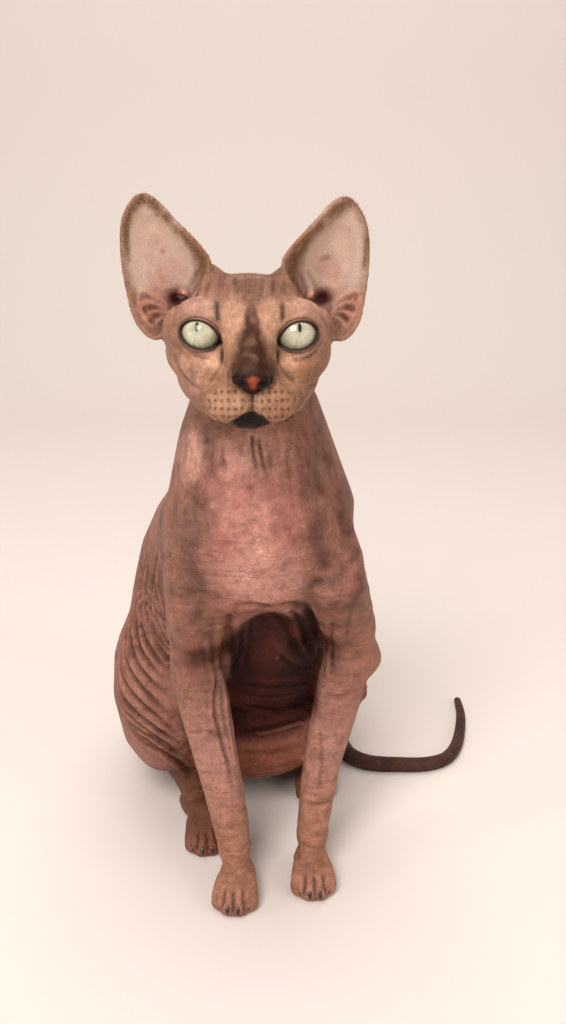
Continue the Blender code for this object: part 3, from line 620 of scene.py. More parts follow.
# Grey-brown neck sides, shoulders and upper arms, with the pink of the chest between them
neck_band = stepped(shape[:, 2], 128, 175) * (1 - on_head)
paint("#7C594D", neck_band * stepped(big + 0.9 * mid + 0.3, -0.3, 0.9) * 0.8)
paint("#5A3B34", neck_band * stepped(small + 0.6 * mid, 0.2, 1.0) * 0.4)
chest = patch(258, 520, 46, 92, 0.45) * front
paint("#A97166", chest * 0.9)
# Pale pink on the throat and chest, painted paler still down the middle as highlights where the lamps light it most
paint("#C49584", (patch(258, 452, 34, 24) + patch(190, 455, 14, 26)) * front * 0.8)
paint("#C99788", (patch(262, 575, 40, 26) * 0.8 + patch(256, 528, 16, 34) * 0.6 + patch(240, 455, 20, 24) * 0.5
                  + patch(226, 500, 16, 26) * 0.35) * front * (0.8 + 0.4 * mid))
paint("#7E4B44", chest * stepped(small + 0.4 * mid, 0.2, 0.9) * 0.5)
paint("#502F28", (patch(332, 520, 26, 48) + patch(350, 590, 18, 46) * 0.7 + patch(184, 565, 20, 18) * 0.7
                  + patch(196, 620, 16, 40) * 0.4) * front * np.clip(0.42 + 0.3 * mid + 0.25 * small, 0.0, 0.75))

# Flanks and back: warm brown with darker patches; the creases between the folds get a redder painted shade further
# down
trunk = (1 - on_head) * (1 - front) * (1 - stepped(shape[:, 2], 170, 200))
paint("#93604F", trunk * 0.6)
paint("#6A4038", trunk * stepped(mid + 0.5 * small, 0.0, 0.9) * 0.6)

# Front legs: pinkish with grey mottles above, tan below
FORELEG_MIDDLES = {-1: [(-43, 4, 182), (-45, 13, 160), (-46, 28, 124), (-38.6, 14, 84), (-30.2, 4, 49), (-25, -6, 8)],
                   1: [(26, 5, 181), (30, 17, 160), (36.5, 37, 122), (26, 28, 84), (19, 17, 49), (15.5, 4, 8)]}
legs = np.zeros(len(shape))
for side, middles in FORELEG_MIDDLES.items():
    path = smooth_line(np.array(middles) + np.array(CENTRED) * 1000.0, 3)
    near, away, along = beside(shape, path, 27.0)
    legs[near] = np.maximum(legs[near], (1 - stepped(away, 18.0, 25.0)) * stepped(along, 0.25, 0.45))
paint("#A5776A", legs * 0.8)
paint("#7A5144", legs * stepped(shape[:, 2], 85, 125) * 0.8)
paint("#6F4E48", legs * stepped(mid + 0.4 * small, 0.1, 0.8) * stepped(shape[:, 2], 60, 120) * 0.7)
low = 1 - stepped(shape[:, 2], 18.0, 80.0)
paint("#9C6E56", legs * low * 0.8)
paint("#8A5B46", legs * low * stepped(small + 0.5 * mid, 0.1, 0.9) * 0.5)
paint("#9C6A55", patch(371, 668, 12, 30) * (1 - on_head) * (1 - legs * 0.3) * stepped(body[:, 0], 20, 40))

# The hollow under the chest and the belly are painted dark as shade, and the lighter roll of belly skin lies below
# them
behind = stepped(shape[:, 1] - CENTRED.y * 1000.0, 4.0, 14.0)
under = (1 - legs) * (1 - on_head) * (1 - stepped(np.abs(body[:, 0] - 2), 34.0, 46.0)) * behind
belly_shade = under * stepped(shape[:, 2], 50, 58) * (1 - stepped(shape[:, 2], 128, 146))
belly_shade *= stepped(-outward[:, 1] - outward[:, 2] * 0.3, -0.4, 0.2)
paint("#40190F", belly_shade * 0.97)
pit_shade = stepped(picture_y, 603, 613) * (1 - stepped(picture_y, 700, 726)) * behind * (1 - on_head)
pit_shade *= stepped(picture_x, 227, 233) * (1 - stepped(picture_x, 314, 321)) * stepped(outward[:, 1] * -1, -0.6, -0.2)
paint("#3A150E", pit_shade * 0.95)
# Painted shadow, near black, in the armpits
paint("#1C0806", pit_shade * (patch(236, 650, 18, 40, 0.8) + patch(306, 638, 14, 38, 0.8) * 0.5) * 0.8)
# Paler fold ridges in the hollow: painted light on the folds
for pixels in ([(250, 616), (243, 645), (236, 672)], [(262, 616), (276, 645), (300, 668)],
               [(284, 612), (299, 636), (311, 662)], [(240, 676), (268, 681), (304, 677)]):
    paint("#6E3C30", pit_shade * line_share(on_skin(pixels), 2.4, 0.4) * 0.6)
paint("#542A20", belly_shade * (patch(270, 655, 16, 20) * 0.5 + patch(262, 700, 30, 14) * 0.4))
roll = under * (1 - stepped(shape[:, 2], 50, 58))
paint("#7F4A38", roll * 0.88)
paint("#6B3A2B", roll * stepped(mid + small, 0.2, 1.0) * 0.6)
paint("#D9A995", line_share(on_skin([(287, 610.5), (288, 611.5)]), 0.8, 0.01)
      + line_share(on_skin([(247, 643.5), (248, 644.5)]), 0.8, 0.01)
      + line_share(on_skin([(277.5, 658.5), (278.5, 659.5)]), 0.8, 0.01)
      + line_share(on_skin([(303.5, 757), (304.5, 758)]), 0.9, 0.01))

# Hind feet and tail are the darkest
hind = foot_share(shape) * stepped(body[:, 1], 20, 34) * (1 - legs)
paint("#6B4534", hind * 0.9)
tail_path = smooth_line(np.array([(-44, 184, 36), (-38, 200, 20), (-27, 211, 11), (-7, 215, 8), (13, 207, 7),
                                  (28, 190, 6.5), (36, 165, 6), (37, 138, 5.4), (42, 116, 4.9), (55, 106, 4.5),
                                  (92, 105, 4), (115, 127, 3.4), (125, 168, 2.7), (126, 188, 2)])
                        + np.array(CENTRED) * 1000.0, 2)
near, away, along = beside(shape, tail_path, 22.0)
tail = np.zeros(len(shape))
tail[near] = (1 - stepped(away, 11.0 - 4 * along, 17.0 - 9 * along)) * stepped(along, 0.02, 0.16)
paint("#4A3029", tail)
paint("#2F1E1A", tail * stepped(mid + small, 0.0, 1.0) * 0.6)

# Head: tan, greyer on the forehead, pinker on the temples
paint("#976F5B", on_head)
paint("#80604F", on_head * stepped(own[:, 1], 18, 45) * 0.6)
paint("#B08466", face * patch(252, 345, 60, 60) * 0.8)
paint("#7C5646", face * patch(252, 286, 46, 22) * 0.85)
paint("#B38A78", face * (patch(200, 308, 20, 14) + patch(308, 308, 18, 14)) * 0.8)
paint("#D2A487", face * (patch(200, 360, 22, 14) + patch(298, 362, 18, 9) * 0.7) * 0.85)
paint("#CC9E85", face * patch(188, 376, 15, 18) * 0.85)
paint("#A5714F", face * patch(309, 374, 14, 14) * 0.7)
paint("#C3987F", face * (patch(233, 318, 10, 22) + patch(269, 318, 9, 22)) * 0.6)
paint("#7B5648", face * stepped(mid + 0.6 * small, 0.35, 1.0) * 0.4)

# Painted shade down the sides of the face and muzzle, where they turn away from the lamps
face_side_shade = stepped(np.abs(picture_x - 252.5) - 0.30 * (430 - picture_y), 28.0, 44.0)
paint("#7D5947", face * face_side_shade * stepped(picture_y, 350, 375) * 0.45)
paint("#9C7058", face * (patch(211, 380, 10, 9) + patch(292, 379, 10, 9)) * 0.6)

# Nose bridge, a dark wedge that widens to the nose, and the leather below it
bridge_half = np.interp(picture_y, (296, 306, 327, 345, 363, 376), (2.5, 5, 10, 17.5, 24, 27))
bridge_middle = np.interp(picture_y, (300, 345, 375), (250.5, 251.5, 252.8))
bridge = 1 - stepped(np.abs(picture_x - bridge_middle) / bridge_half + 0.25 * small, 0.5, 1.35)
bridge *= stepped(picture_y, 292, 320) * (1 - stepped(picture_y, 374, 382)) * face
paint("#3C1F13", bridge * np.clip(1.0 + 0.4 * small, 0.5, 1.0))
paint("#3A2016", bridge * patch(252, 370, 24, 10) * 0.8)
leather_half = np.interp(picture_y, (372, 377, 383, 389, 394, 396), (18, 22, 21, 12, 4, 0.5))
leather = 1 - stepped(np.abs(picture_x - 252.5) - leather_half, -2.0, 1.5)
leather *= stepped(picture_y, 371, 376) * (1 - stepped(picture_y, 394, 398)) * face
paint("#24120F", leather)
paint("#94452C", (patch(253, 380, 6, 3.2, 0.6) + patch(253, 385, 3.4, 5.5, 0.6)) * leather * 0.85)
# Painted shade, near black, in the nostrils
paint("#120A09", (patch(241.9, 383.4, 4.2, 3.2, 0.4) + patch(263.6, 384.2, 4.2, 3.2, 0.4)) * face)
paint("#2A1813", line_share(on_skin([(252, 392), (252, 402), (252, 411)]), 1.1))

# Whisker pads with rows of dark dots, and the dark triangle of the lower lip: black skin, with painted shade under the
# mouth
pads = (patch(227, 403, 23, 17, 0.25) + patch(277, 404, 22, 17, 0.25)) * face * (1 - leather)
paint("#AC846A", pads)
paint("#93674C", pads * stepped(picture_x, 250, 290) * 0.8)
paint("#8A6048", pads * (1 - stepped(picture_y, 392, 402)) * 0.5)
lip_half = np.interp(picture_y, (409, 413, 424, 429, 432), (0.5, 6, 24, 17, 2))
lip_middle = np.interp(picture_y, (410, 425), (252, 249.5))
lip = 1 - stepped(np.abs(picture_x - lip_middle) - lip_half, -1.5, 1.0)
lip *= stepped(picture_y, 409, 412) * (1 - stepped(picture_y, 427, 432)) * face
paint("#130A09", lip)
paint("#3A281D", lip * patch(250, 426.5, 8, 2.5, 0.5) * 0.5)

# Brow streaks, tear streaks, and a soft painted shade over each lid
DARK_LINES = (([(216.9, 298), (217.3, 310), (218.5, 326)], 1.2, 0.9), ([(282, 300), (282.5, 312), (281.5, 326)], 1.1, 0.9),
              ([(222.4, 343), (221.8, 356), (222.3, 368)], 1.7, 0.95), ([(278.5, 343), (278, 355), (277, 370)], 1.8, 0.95),
              ([(182, 303), (192, 297), (204, 296)], 1.6, 0.15), ([(318, 305), (308, 299), (297, 298)], 1.6, 0.15))
for pixels, width, strength in DARK_LINES:
    paint("#3E281D", line_share(on_skin(pixels), width, 0.35) * strength)
for x, y, tall, width in ((207, 440, 7, 1.5), (178, 466, 8.5, 1.0), (169, 555, 1.5, 1.0), (186, 625, 1.5, 1.0)):
    paint("#4A3733", line_share(on_skin([(x, y - tall), (x, y + tall)]), width, 0.3) * 0.85)

# Ears: pale and pink inside, dark red at the canal, brown along the edges and behind
ears = on_head * stepped(own[:, 2] + 0.25 * (np.abs(own[:, 0]) - 30), 4.0, 16.0) * stepped(np.abs(own[:, 0]), 14, 24)
ears *= stepped(own[:, 1], 14.0, 21.0)
paint("#8A6656", ears * (1 - facing) * 0.9)
right_cup = patch(157, 252, 30, 52, 0.22) + patch(172, 272, 24, 30, 0.3)
left_cup = patch(338, 254, 29, 51, 0.22) + patch(325, 272, 24, 30, 0.3)
inside = ears * facing * np.clip(right_cup + left_cup, 0, 1)
paint("#CBAE9E", inside)
paint("#BD8F7D", inside * 0.8 * (patch(168, 280, 16, 20) + patch(330, 278, 16, 20)) * (0.6 + 0.4 * mid))
paint("#C9A794", inside * (patch(154, 232, 16, 26) + patch(342, 232, 16, 26)) * 0.5)
paint("#B07A66", ears * facing * (patch(152, 309, 18, 20) + patch(351, 309, 16, 20)) * 0.75)
# The canal is dark red skin, painted darkest in its opening as shade
paint("#6E2F29", ears * facing * (patch(177, 297, 12, 9, 0.7) + patch(322, 297, 12, 9, 0.7)) * 0.9)
paint("#380F0E", ears * facing * (patch(177, 299, 8, 6, 0.7) + patch(322, 299, 8, 6, 0.7)))
paint("#CF9584", ears * facing * (patch(182.4, 293.6, 4.2, 4.0, 0.4) + patch(311.3, 294.6, 4.2, 4.0, 0.4)))
EAR_BANDS = (([(137, 203), (146, 199), (156, 206), (173, 224), (192, 244), (204, 258), (211, 274)], 3.8),
             ([(362, 208), (352, 201), (344, 204), (328, 218), (309, 238), (295, 256), (287, 272)], 3.8),
             ([(137, 201), (128, 216), (126, 236), (128, 262)], 1.5), ([(362, 208), (367, 224), (367, 244), (364, 270)], 1.5))
for pixels, width in EAR_BANDS:
    paint("#7A563B", line_share(on_skin(pixels, 6), width, 0.2) * np.clip(0.85 + 0.5 * small, 0.3, 1.0))
# A short brown mark high in each cup: the painted shade of a small fold
for pixels in ([(160, 253), (162.4, 251.7), (165, 253.5)], [(318, 260.5), (326, 257.5), (333.5, 256)]):
    paint("#9A6850", line_share(on_skin(pixels), 1.3, 0.4) * 0.7)

# Lids are dark at their edges
for side in (-1, 1):
    socket = HEAD @ placed((side * 0.0193, 0.0085, 0.0), yaw=side * 9.0)
    eye_own = seen_in(socket, shape)
    tilt = math.radians(17.0) * side
    lid_x = eye_own[:, 0] * math.cos(tilt) + eye_own[:, 2] * math.sin(tilt)
    lid_z = eye_own[:, 2] * math.cos(tilt) - eye_own[:, 0] * math.sin(tilt)
    away = np.hypot(lid_x / 10.1, lid_z / 7.6)
    near_eye = on_head * (1 - stepped(np.linalg.norm(eye_own, axis=1), 13.0, 16.0)) * (eye_own[:, 1] < 0)
    paint("#2B1B15", near_eye * (1 - stepped(away, 0.9, 1.0)))
    paint("#7D5B49", near_eye * (1 - stepped(away, 1.0, 1.25)) * stepped(away, 0.9, 1.0) * 0.5)

# Skin is painted darker as shade where it sinks in, and paler as a highlight where it stands out
links = edges_of(sheet)
blurred = relaxed(shape, links, 5, np.ones(len(shape)), False)
sunk = ((blurred - shape) * outward).sum(1)
sunk *= 1 - 0.7 * inside
tint *= (1 - 0.5 * np.clip(sunk / 0.3, 0.0, 1.0))[:, None] * (1 + 0.18 * np.clip(-sunk / 0.5, 0.0, 1.0))[:, None]

# Creases are painted with shade and a darker, redder colour, and ridges are painted paler as a highlight
for path, width, ends, strength in creases:
    near, away, along = beside(shape, path, 3.0 * width)
    share = np.exp(-((away / (0.8 * width)) ** 2)) * tapered(along, ends) * abs(strength)
    dark = tint[near] * np.array((0.36, 0.25, 0.24))
    light = np.minimum(tint[near] * 1.4 + 0.02, 1.0)
    tint[near] += ((dark if strength > 0 else light) - tint[near]) * share[:, None] * 0.85

for pixels in ([(213, 338), (219, 341), (223, 344)], [(285, 341), (280, 343), (277, 345)]):
    paint("#1E1310", line_share(on_skin(pixels), 1.5, 0.02))
wet = np.clip(leather + lip + 0.6 * line_share(on_skin([(217, 341), (223, 342)]), 1.5), 0.0, 1.0)
fuzz = np.clip(bridge + 0.5 * face + ears * 0.4 + tail * 0.5, 0.0, 1.0)
crown = face * (patch(252, 287, 32, 15, 0.4) + 0.7 * patch(204, 283, 18, 20, 0.4) + 0.7 * patch(303, 283, 18, 20, 0.4))
crown = np.clip(crown * (1 - bridge), 0.0, 1.0)
upright = (1 - on_head) * stepped(shape[:, 2], 190, 235) * stepped(-outward[:, 1], -0.2, 0.5)
places = sheet.attributes.new("head_place", "FLOAT_VECTOR", "POINT")
places.data.foreach_set("vector", own.astype(np.float32).ravel())
shades = sheet.color_attributes.new("tint", "FLOAT_COLOR", "POINT")
shades.data.foreach_set("color", np.column_stack([np.clip(tint, 0.0, 1.0), np.ones(len(tint))]).astype(np.float32).ravel())
for name, values in (("wet", wet), ("fuzz", fuzz), ("pits", 1 - 0.6 * on_head), ("plain", inside), ("whiskered", pads), ("crown", crown),
                     ("upright", upright)):
    layer = sheet.attributes.new(name, "FLOAT", "POINT")
    layer.data.foreach_set("value", values.astype(np.float32))


# Bare skin is a soft leather: satin and finely creased. Thin
# parts let a little light through.
def add(tree_of, kind, links=(), **settings):
    """A node with its settings, and with sockets set to values or linked from other nodes' sockets."""
    node = tree_of.nodes.new(kind)
    for name, value in settings.items():
        setattr(node, name, value)
    for socket, value in dict(links).items():
        if isinstance(value, bpy.types.NodeSocket):
            tree_of.links.new(value, node.inputs[socket])
        else:
            node.inputs[socket].default_value = value
    return node


def material_of(name):
    made = bpy.data.materials.new(name)
    made.use_nodes = True
    made.node_tree.nodes.clear()
    return made, made.node_tree


skin_material, nodes = material_of("bare_cat_skin")
where = add(nodes, "ShaderNodeTexCoord").outputs["Object"]
painted = add(nodes, "ShaderNodeAttribute", attribute_name="tint").outputs["Color"]
wetness = add(nodes, "ShaderNodeAttribute", attribute_name="wet").outputs["Fac"]
down = add(nodes, "ShaderNodeAttribute", attribute_name="fuzz").outputs["Fac"]
pits = add(nodes, "ShaderNodeAttribute", attribute_name="pits").outputs["Fac"]
MOTTLE, STIPPLE, PORE, CELL = 1 / 0.0042, 1 / 0.0011, 1 / 0.0006, 1 / 0.0019
mottle = add(nodes, "ShaderNodeTexNoise", {"Vector": where, "Scale": MOTTLE, "Detail": 4.0, "Roughness": 0.6})
stipple = add(nodes, "ShaderNodeTexNoise", {"Vector": where, "Scale": STIPPLE, "Detail": 3.0, "Roughness": 0.65})
pore = add(nodes, "ShaderNodeTexNoise", {"Vector": where, "Scale": PORE, "Detail": 2.0})
sway = add(nodes, "ShaderNodeVectorMath", {0: mottle.outputs["Color"], "Scale": 0.0035}, operation="SCALE")
bent = add(nodes, "ShaderNodeVectorMath", {0: where, 1: sway.outputs[0]}, operation="ADD")
cells = add(nodes, "ShaderNodeTexVoronoi", {"Vector": bent.outputs[0], "Scale": CELL}, feature="DISTANCE_TO_EDGE")
lines = add(nodes, "ShaderNodeMapRange", {"Value": cells.outputs["Distance"], "From Min": 0.0, "From Max": 0.22})
shade_a = add(nodes, "ShaderNodeMapRange", {"Value": mottle.outputs["Fac"], "From Min": 0.3, "From Max": 0.7,
                                           "To Min": 0.74, "To Max": 1.24})
shade_b = add(nodes, "ShaderNodeMapRange", {"Value": stipple.outputs["Fac"], "From Min": 0.3, "From Max": 0.7,
                                           "To Min": 0.86, "To Max": 1.14})
shade_c = add(nodes, "ShaderNodeMapRange", {"Value": lines.outputs["Result"], "From Min": 0.0, "From Max": 1.0,
                                           "To Min": 0.90, "To Max": 1.03})
shade_ab = add(nodes, "ShaderNodeMath", {0: shade_a.outputs["Result"], 1: shade_b.outputs["Result"]},
               operation="MULTIPLY")
shade = add(nodes, "ShaderNodeMath", {0: shade_ab.outputs[0], 1: shade_c.outputs["Result"]}, operation="MULTIPLY")
head_place = add(nodes, "ShaderNodeAttribute", attribute_name="head_place").outputs["Vector"]
crown = add(nodes, "ShaderNodeAttribute", attribute_name="crown").outputs["Fac"]
upright = add(nodes, "ShaderNodeAttribute", attribute_name="upright").outputs["Fac"]
whiskered = add(nodes, "ShaderNodeAttribute", attribute_name="whiskered").outputs["Fac"]


def furrows(place, stretch, start, full):
    """Soft streaks along the long way of a stretched noise: 1 in a streak and 0 beside it."""
    drawn = add(nodes, "ShaderNodeVectorMath", {0: place, 1: stretch}, operation="MULTIPLY")
    wander = add(nodes, "ShaderNodeTexNoise", {"Vector": drawn.outputs[0], "Scale": 1.0, "Detail": 1.5})
    return add(nodes, "ShaderNodeMapRange", {"Value": wander.outputs["Fac"], "From Min": start, "From Max": full,
                                            "To Min": 0.0, "To Max": 1.0}).outputs["Result"]


def times(first, second):
    return add(nodes, "ShaderNodeMath", {0: first, 1: second}, operation="MULTIPLY").outputs[0]


crown_lines = times(furrows(head_place, (1 / 1.9, 1 / 26, 1 / 26), 0.52, 0.38), times(crown, 0.6))
throat_lines = times(times(furrows(where, (1 / 0.0035, 1 / 0.0035, 1 / 0.05), 0.48, 0.36), upright), 0.4)
cross_lines = furrows(where, (1 / 0.02, 1 / 0.02, 1 / 0.0022), 0.46, 0.36)
plain = add(nodes, "ShaderNodeAttribute", attribute_name="plain").outputs["Fac"]
bare = add(nodes, "ShaderNodeMath", {0: upright, 1: plain}, operation="ADD").outputs[0]
cross_share = add(nodes, "ShaderNodeMath", {0: pits, 1: bare}, operation="SUBTRACT", use_clamp=True)
cross_lines = times(times(cross_lines, cross_share.outputs[0]), 0.35)
all_lines = add(nodes, "ShaderNodeMath", {0: crown_lines, 1: throat_lines}, operation="ADD").outputs[0]
all_lines = add(nodes, "ShaderNodeMath", {0: all_lines, 1: cross_lines}, operation="ADD", use_clamp=True).outputs[0]

# Whiskers grow from dark dots, 2.7 mm apart in rows across each pad
wander = add(nodes, "ShaderNodeVectorMath", {0: mottle.outputs["Color"], "Scale": 3.2}, operation="SCALE")
strayed = add(nodes, "ShaderNodeVectorMath", {0: head_place, 1: wander.outputs[0]}, operation="ADD")
rows = add(nodes, "ShaderNodeVectorMath", {0: strayed.outputs[0], 1: (1 / 2.7, 0.0, 1 / 3.3)}, operation="MULTIPLY")
cell = add(nodes, "ShaderNodeVectorMath", {0: rows.outputs[0]}, operation="FRACTION")
in_cell = add(nodes, "ShaderNodeVectorMath", {0: cell.outputs[0], 1: (0.5, 0.0, 0.5)}, operation="SUBTRACT")
in_cell = add(nodes, "ShaderNodeVectorMath", {0: in_cell.outputs[0], 1: (2.7, 0.0, 3.3)}, operation="MULTIPLY")
from_dot = add(nodes, "ShaderNodeVectorMath", {0: in_cell.outputs[0]}, operation="LENGTH").outputs["Value"]
dots = add(nodes, "ShaderNodeMapRange", {"Value": from_dot, "From Min": 0.45, "From Max": 1.1,
                                        "To Min": 1.0, "To Max": 0.0}).outputs["Result"]
dots = times(dots, whiskered)
# Dark whisker dots, and painted shade in the fine wrinkles of the crown, throat and skin
dots_and_crease_shade = add(nodes, "ShaderNodeMath", {0: times(all_lines, 0.55), 1: times(dots, 0.72)}, operation="ADD",
            use_clamp=True).outputs[0]
quiet = add(nodes, "ShaderNodeMath", {0: plain, 1: -0.75, 2: 1.0}, operation="MULTIPLY_ADD").outputs[0]
even = add(nodes, "ShaderNodeMix", {"Factor": quiet, "A": 1.0, "B": shade.outputs[0]}).outputs["Result"]
shaded = add(nodes, "ShaderNodeVectorMath", {0: painted, "Scale": even}, operation="SCALE")
dots_and_crease_shade_colour = add(nodes, "ShaderNodeVectorMath", {0: shaded.outputs[0], 1: (0.32, 0.22, 0.18)}, operation="MULTIPLY")
coloured = add(nodes, "ShaderNodeMix", {"Factor": dots_and_crease_shade}, data_type="RGBA")
nodes.links.new(shaded.outputs[0], coloured.inputs["A"])
nodes.links.new(dots_and_crease_shade_colour.outputs[0], coloured.inputs["B"])
satin = add(nodes, "ShaderNodeMapRange", {"Value": mottle.outputs["Fac"], "From Min": 0.3, "From Max": 0.7,
                                         "To Min": 0.46, "To Max": 0.62})
gloss = add(nodes, "ShaderNodeMix", {"Factor": wetness, "A": satin.outputs["Result"], "B": 0.28})
wrinkled = add(nodes, "ShaderNodeMath", {0: lines.outputs["Result"], 1: pits}, operation="MULTIPLY")
line_depth = times(all_lines, -1.0)
line_bump = add(nodes, "ShaderNodeBump", {"Strength": 0.7, "Distance": 0.0006, "Height": line_depth})
coarse_bump = add(nodes, "ShaderNodeBump", {"Strength": 0.45, "Distance": 0.0005,
                                           "Height": wrinkled.outputs[0], "Normal": line_bump.outputs[0]})
mid_bump = add(nodes, "ShaderNodeBump", {"Strength": 0.45, "Distance": 0.0006,
                                        "Height": stipple.outputs["Fac"], "Normal": coarse_bump.outputs[0]})
fine_bump = add(nodes, "ShaderNodeBump", {"Strength": 0.35, "Distance": 0.0003,
                                         "Height": pore.outputs["Fac"], "Normal": mid_bump.outputs[0]})
surface = add(nodes, "ShaderNodeBsdfPrincipled", {
    "Base Color": coloured.outputs["Result"], "Roughness": gloss.outputs["Result"], "Normal": fine_bump.outputs[0],
    "IOR": 1.4, "Specular IOR Level": 0.2, "Subsurface Weight": 0.08, "Subsurface Radius": (1.0, 0.35, 0.2),
    "Subsurface Scale": 0.003})
add(nodes, "ShaderNodeOutputMaterial", {"Surface": surface.outputs[0]})
sheet.materials.append(skin_material)


# Eyes. Each eyeball bulges at the cornea, over an iris of pale green fibres with a dark rim and an
# upright slit. The wet surface throws back the window.
EYE_SPACING = 38.6
EYE_DEPTH = 8.5
EYE_RADIUS = 10.5
CORNEA_BULGE = 1.2
GAZE = {-1: (-12.0, 14.0), 1: (8.0, 14.0)}        # degrees that each eye looks to the cat's left, and up
IRIS = 0.80                                     # of the eyeball's radius

eye_material, nodes = material_of("wet_eye")
flat = add(nodes, "ShaderNodeUVMap", uv_map="gaze").outputs[0]
centred = add(nodes, "ShaderNodeVectorMath", {0: flat, 1: (0.5, 0.5, 0.0)}, operation="SUBTRACT")
spread = add(nodes, "ShaderNodeVectorMath", {0: centred.outputs[0], 1: (2.0, 2.0, 0.0)}, operation="MULTIPLY")
radius = add(nodes, "ShaderNodeVectorMath", {0: spread.outputs[0]}, operation="LENGTH").outputs["Value"]
split = add(nodes, "ShaderNodeSeparateXYZ", {0: spread.outputs[0]})
angle = add(nodes, "ShaderNodeMath", {0: split.outputs["Y"], 1: split.outputs["X"]}, operation="ARCTAN2")
ring = add(nodes, "ShaderNodeVectorMath", {0: spread.outputs[0]}, operation="NORMALIZE")
spun = add(nodes, "ShaderNodeVectorMath", {0: ring.outputs[0], 1: (16.0, 16.0, 1.0)}, operation="MULTIPLY")
lift = add(nodes, "ShaderNodeCombineXYZ", {"Z": radius})
fibre_place = add(nodes, "ShaderNodeVectorMath", {0: spun.outputs[0], 1: lift.outputs[0]}, operation="ADD")
fibres = add(nodes, "ShaderNodeTexNoise", {"Vector": fibre_place.outputs[0], "Scale": 1.2, "Detail": 4.0})
blotch = add(nodes, "ShaderNodeTexNoise", {"Vector": spread.outputs[0], "Scale": 2.6, "Detail": 3.0})
iris_ramp = add(nodes, "ShaderNodeValToRGB", {"Fac": radius})
stops = iris_ramp.color_ramp.elements
# The iris ends in a dark rim, and past it the ball is near black: painted shade where the lids cover the white of the
# eye
IRIS_STOPS = ((0.0, "#96947B"), (0.16, "#ADAB92"), (0.34, "#C7C4AC"), (0.58, "#BCB89D"), (0.72, "#948F72"),
              (0.80, "#4A4636"), (0.86, "#1C1512"))
stops[0].color = (*linear(IRIS_STOPS[0][1]), 1)
stops[0].position = IRIS_STOPS[0][0]
stops[1].color = (*linear(IRIS_STOPS[-1][1]), 1)
stops[1].position = IRIS_STOPS[-1][0]
for position, colour in IRIS_STOPS[1:-1]:
    stop = stops.new(position)
    stop.color = (*linear(colour), 1)
streak = add(nodes, "ShaderNodeMapRange", {"Value": fibres.outputs["Fac"], "From Min": 0.3, "From Max": 0.7,
                                          "To Min": 0.74, "To Max": 1.16})
cloudy = add(nodes, "ShaderNodeMapRange", {"Value": blotch.outputs["Fac"], "From Min": 0.3, "From Max": 0.7,
                                          "To Min": 0.88, "To Max": 1.08})
both = add(nodes, "ShaderNodeMath", {0: streak.outputs["Result"], 1: cloudy.outputs["Result"]}, operation="MULTIPLY")
iris = add(nodes, "ShaderNodeVectorMath", {0: iris_ramp.outputs["Color"], "Scale": both.outputs[0]}, operation="SCALE")
wide = add(nodes, "ShaderNodeMath", {0: split.outputs["X"], 1: 1 / 0.075}, operation="MULTIPLY")
tall = add(nodes, "ShaderNodeMath", {0: split.outputs["Y"], 1: 1 / 0.2, 2: -0.3}, operation="MULTIPLY_ADD")
slit_vector = add(nodes, "ShaderNodeCombineXYZ", {"X": wide.outputs[0], "Y": tall.outputs[0]})
slit = add(nodes, "ShaderNodeVectorMath", {0: slit_vector.outputs[0]}, operation="LENGTH").outputs["Value"]
open_part = add(nodes, "ShaderNodeMapRange", {"Value": slit, "From Min": 0.85, "From Max": 1.15,
                                             "To Min": 1.0, "To Max": 0.0})
eye_colour = add(nodes, "ShaderNodeMix", {"Factor": open_part.outputs["Result"]}, data_type="RGBA")
nodes.links.new(iris.outputs[0], eye_colour.inputs["A"])
eye_colour.inputs["B"].default_value = (*linear("#0A0807"), 1)
surface = add(nodes, "ShaderNodeBsdfPrincipled", {
    "Base Color": eye_colour.outputs["Result"], "Roughness": 0.35, "IOR": 1.38, "Coat Weight": 1.0,
    "Coat Roughness": 0.03, "Coat IOR": 1.4, "Subsurface Weight": 0.0})
add(nodes, "ShaderNodeOutputMaterial", {"Surface": surface.outputs[0]})

for side, name in ((-1, "eye_right"), (1, "eye_left")):
    across, up = GAZE[side]
    ball = bmesh.new()
    bmesh.ops.create_uvsphere(ball, u_segments=64, v_segments=40, radius=EYE_RADIUS / 1000.0)
    gaze = ball.loops.layers.uv.new("gaze")
    for vert in ball.verts:
        bulge = max(0.0, vert.co.z * 1000.0 / EYE_RADIUS - 0.72) / 0.28
        vert.co.z += CORNEA_BULGE / 1000.0 * (bulge if bulge < 0.5 else 0.5 + 0.8 * (bulge - 0.5))
    for part in ball.faces:
        for loop in part.loops:
            spot = loop.vert.co * (1000.0 / EYE_RADIUS)
            loop[gaze].uv = (0.5 + spot.x / 2, 0.5 + spot.y / 2) if spot.z > 0 else (0.999, 0.999)
    socket = HEAD @ placed((side * EYE_SPACING / 2000, EYE_DEPTH / 1000, 0.0))
    look = placed((0, 0, 0), pitch=up, yaw=across) @ Matrix.Rotation(math.radians(90), 4, "X")
    bmesh.ops.transform(ball, matrix=socket @ look, verts=ball.verts)
    mesh = bpy.data.meshes.new("eyeball")
    ball.to_mesh(mesh)
    ball.free()
    mesh.shade_smooth()
    mesh.materials.append(eye_material)
    eyeball = object_of("eyeball_" + name[4:], mesh)
    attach(eyeball, "root")
    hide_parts(name)


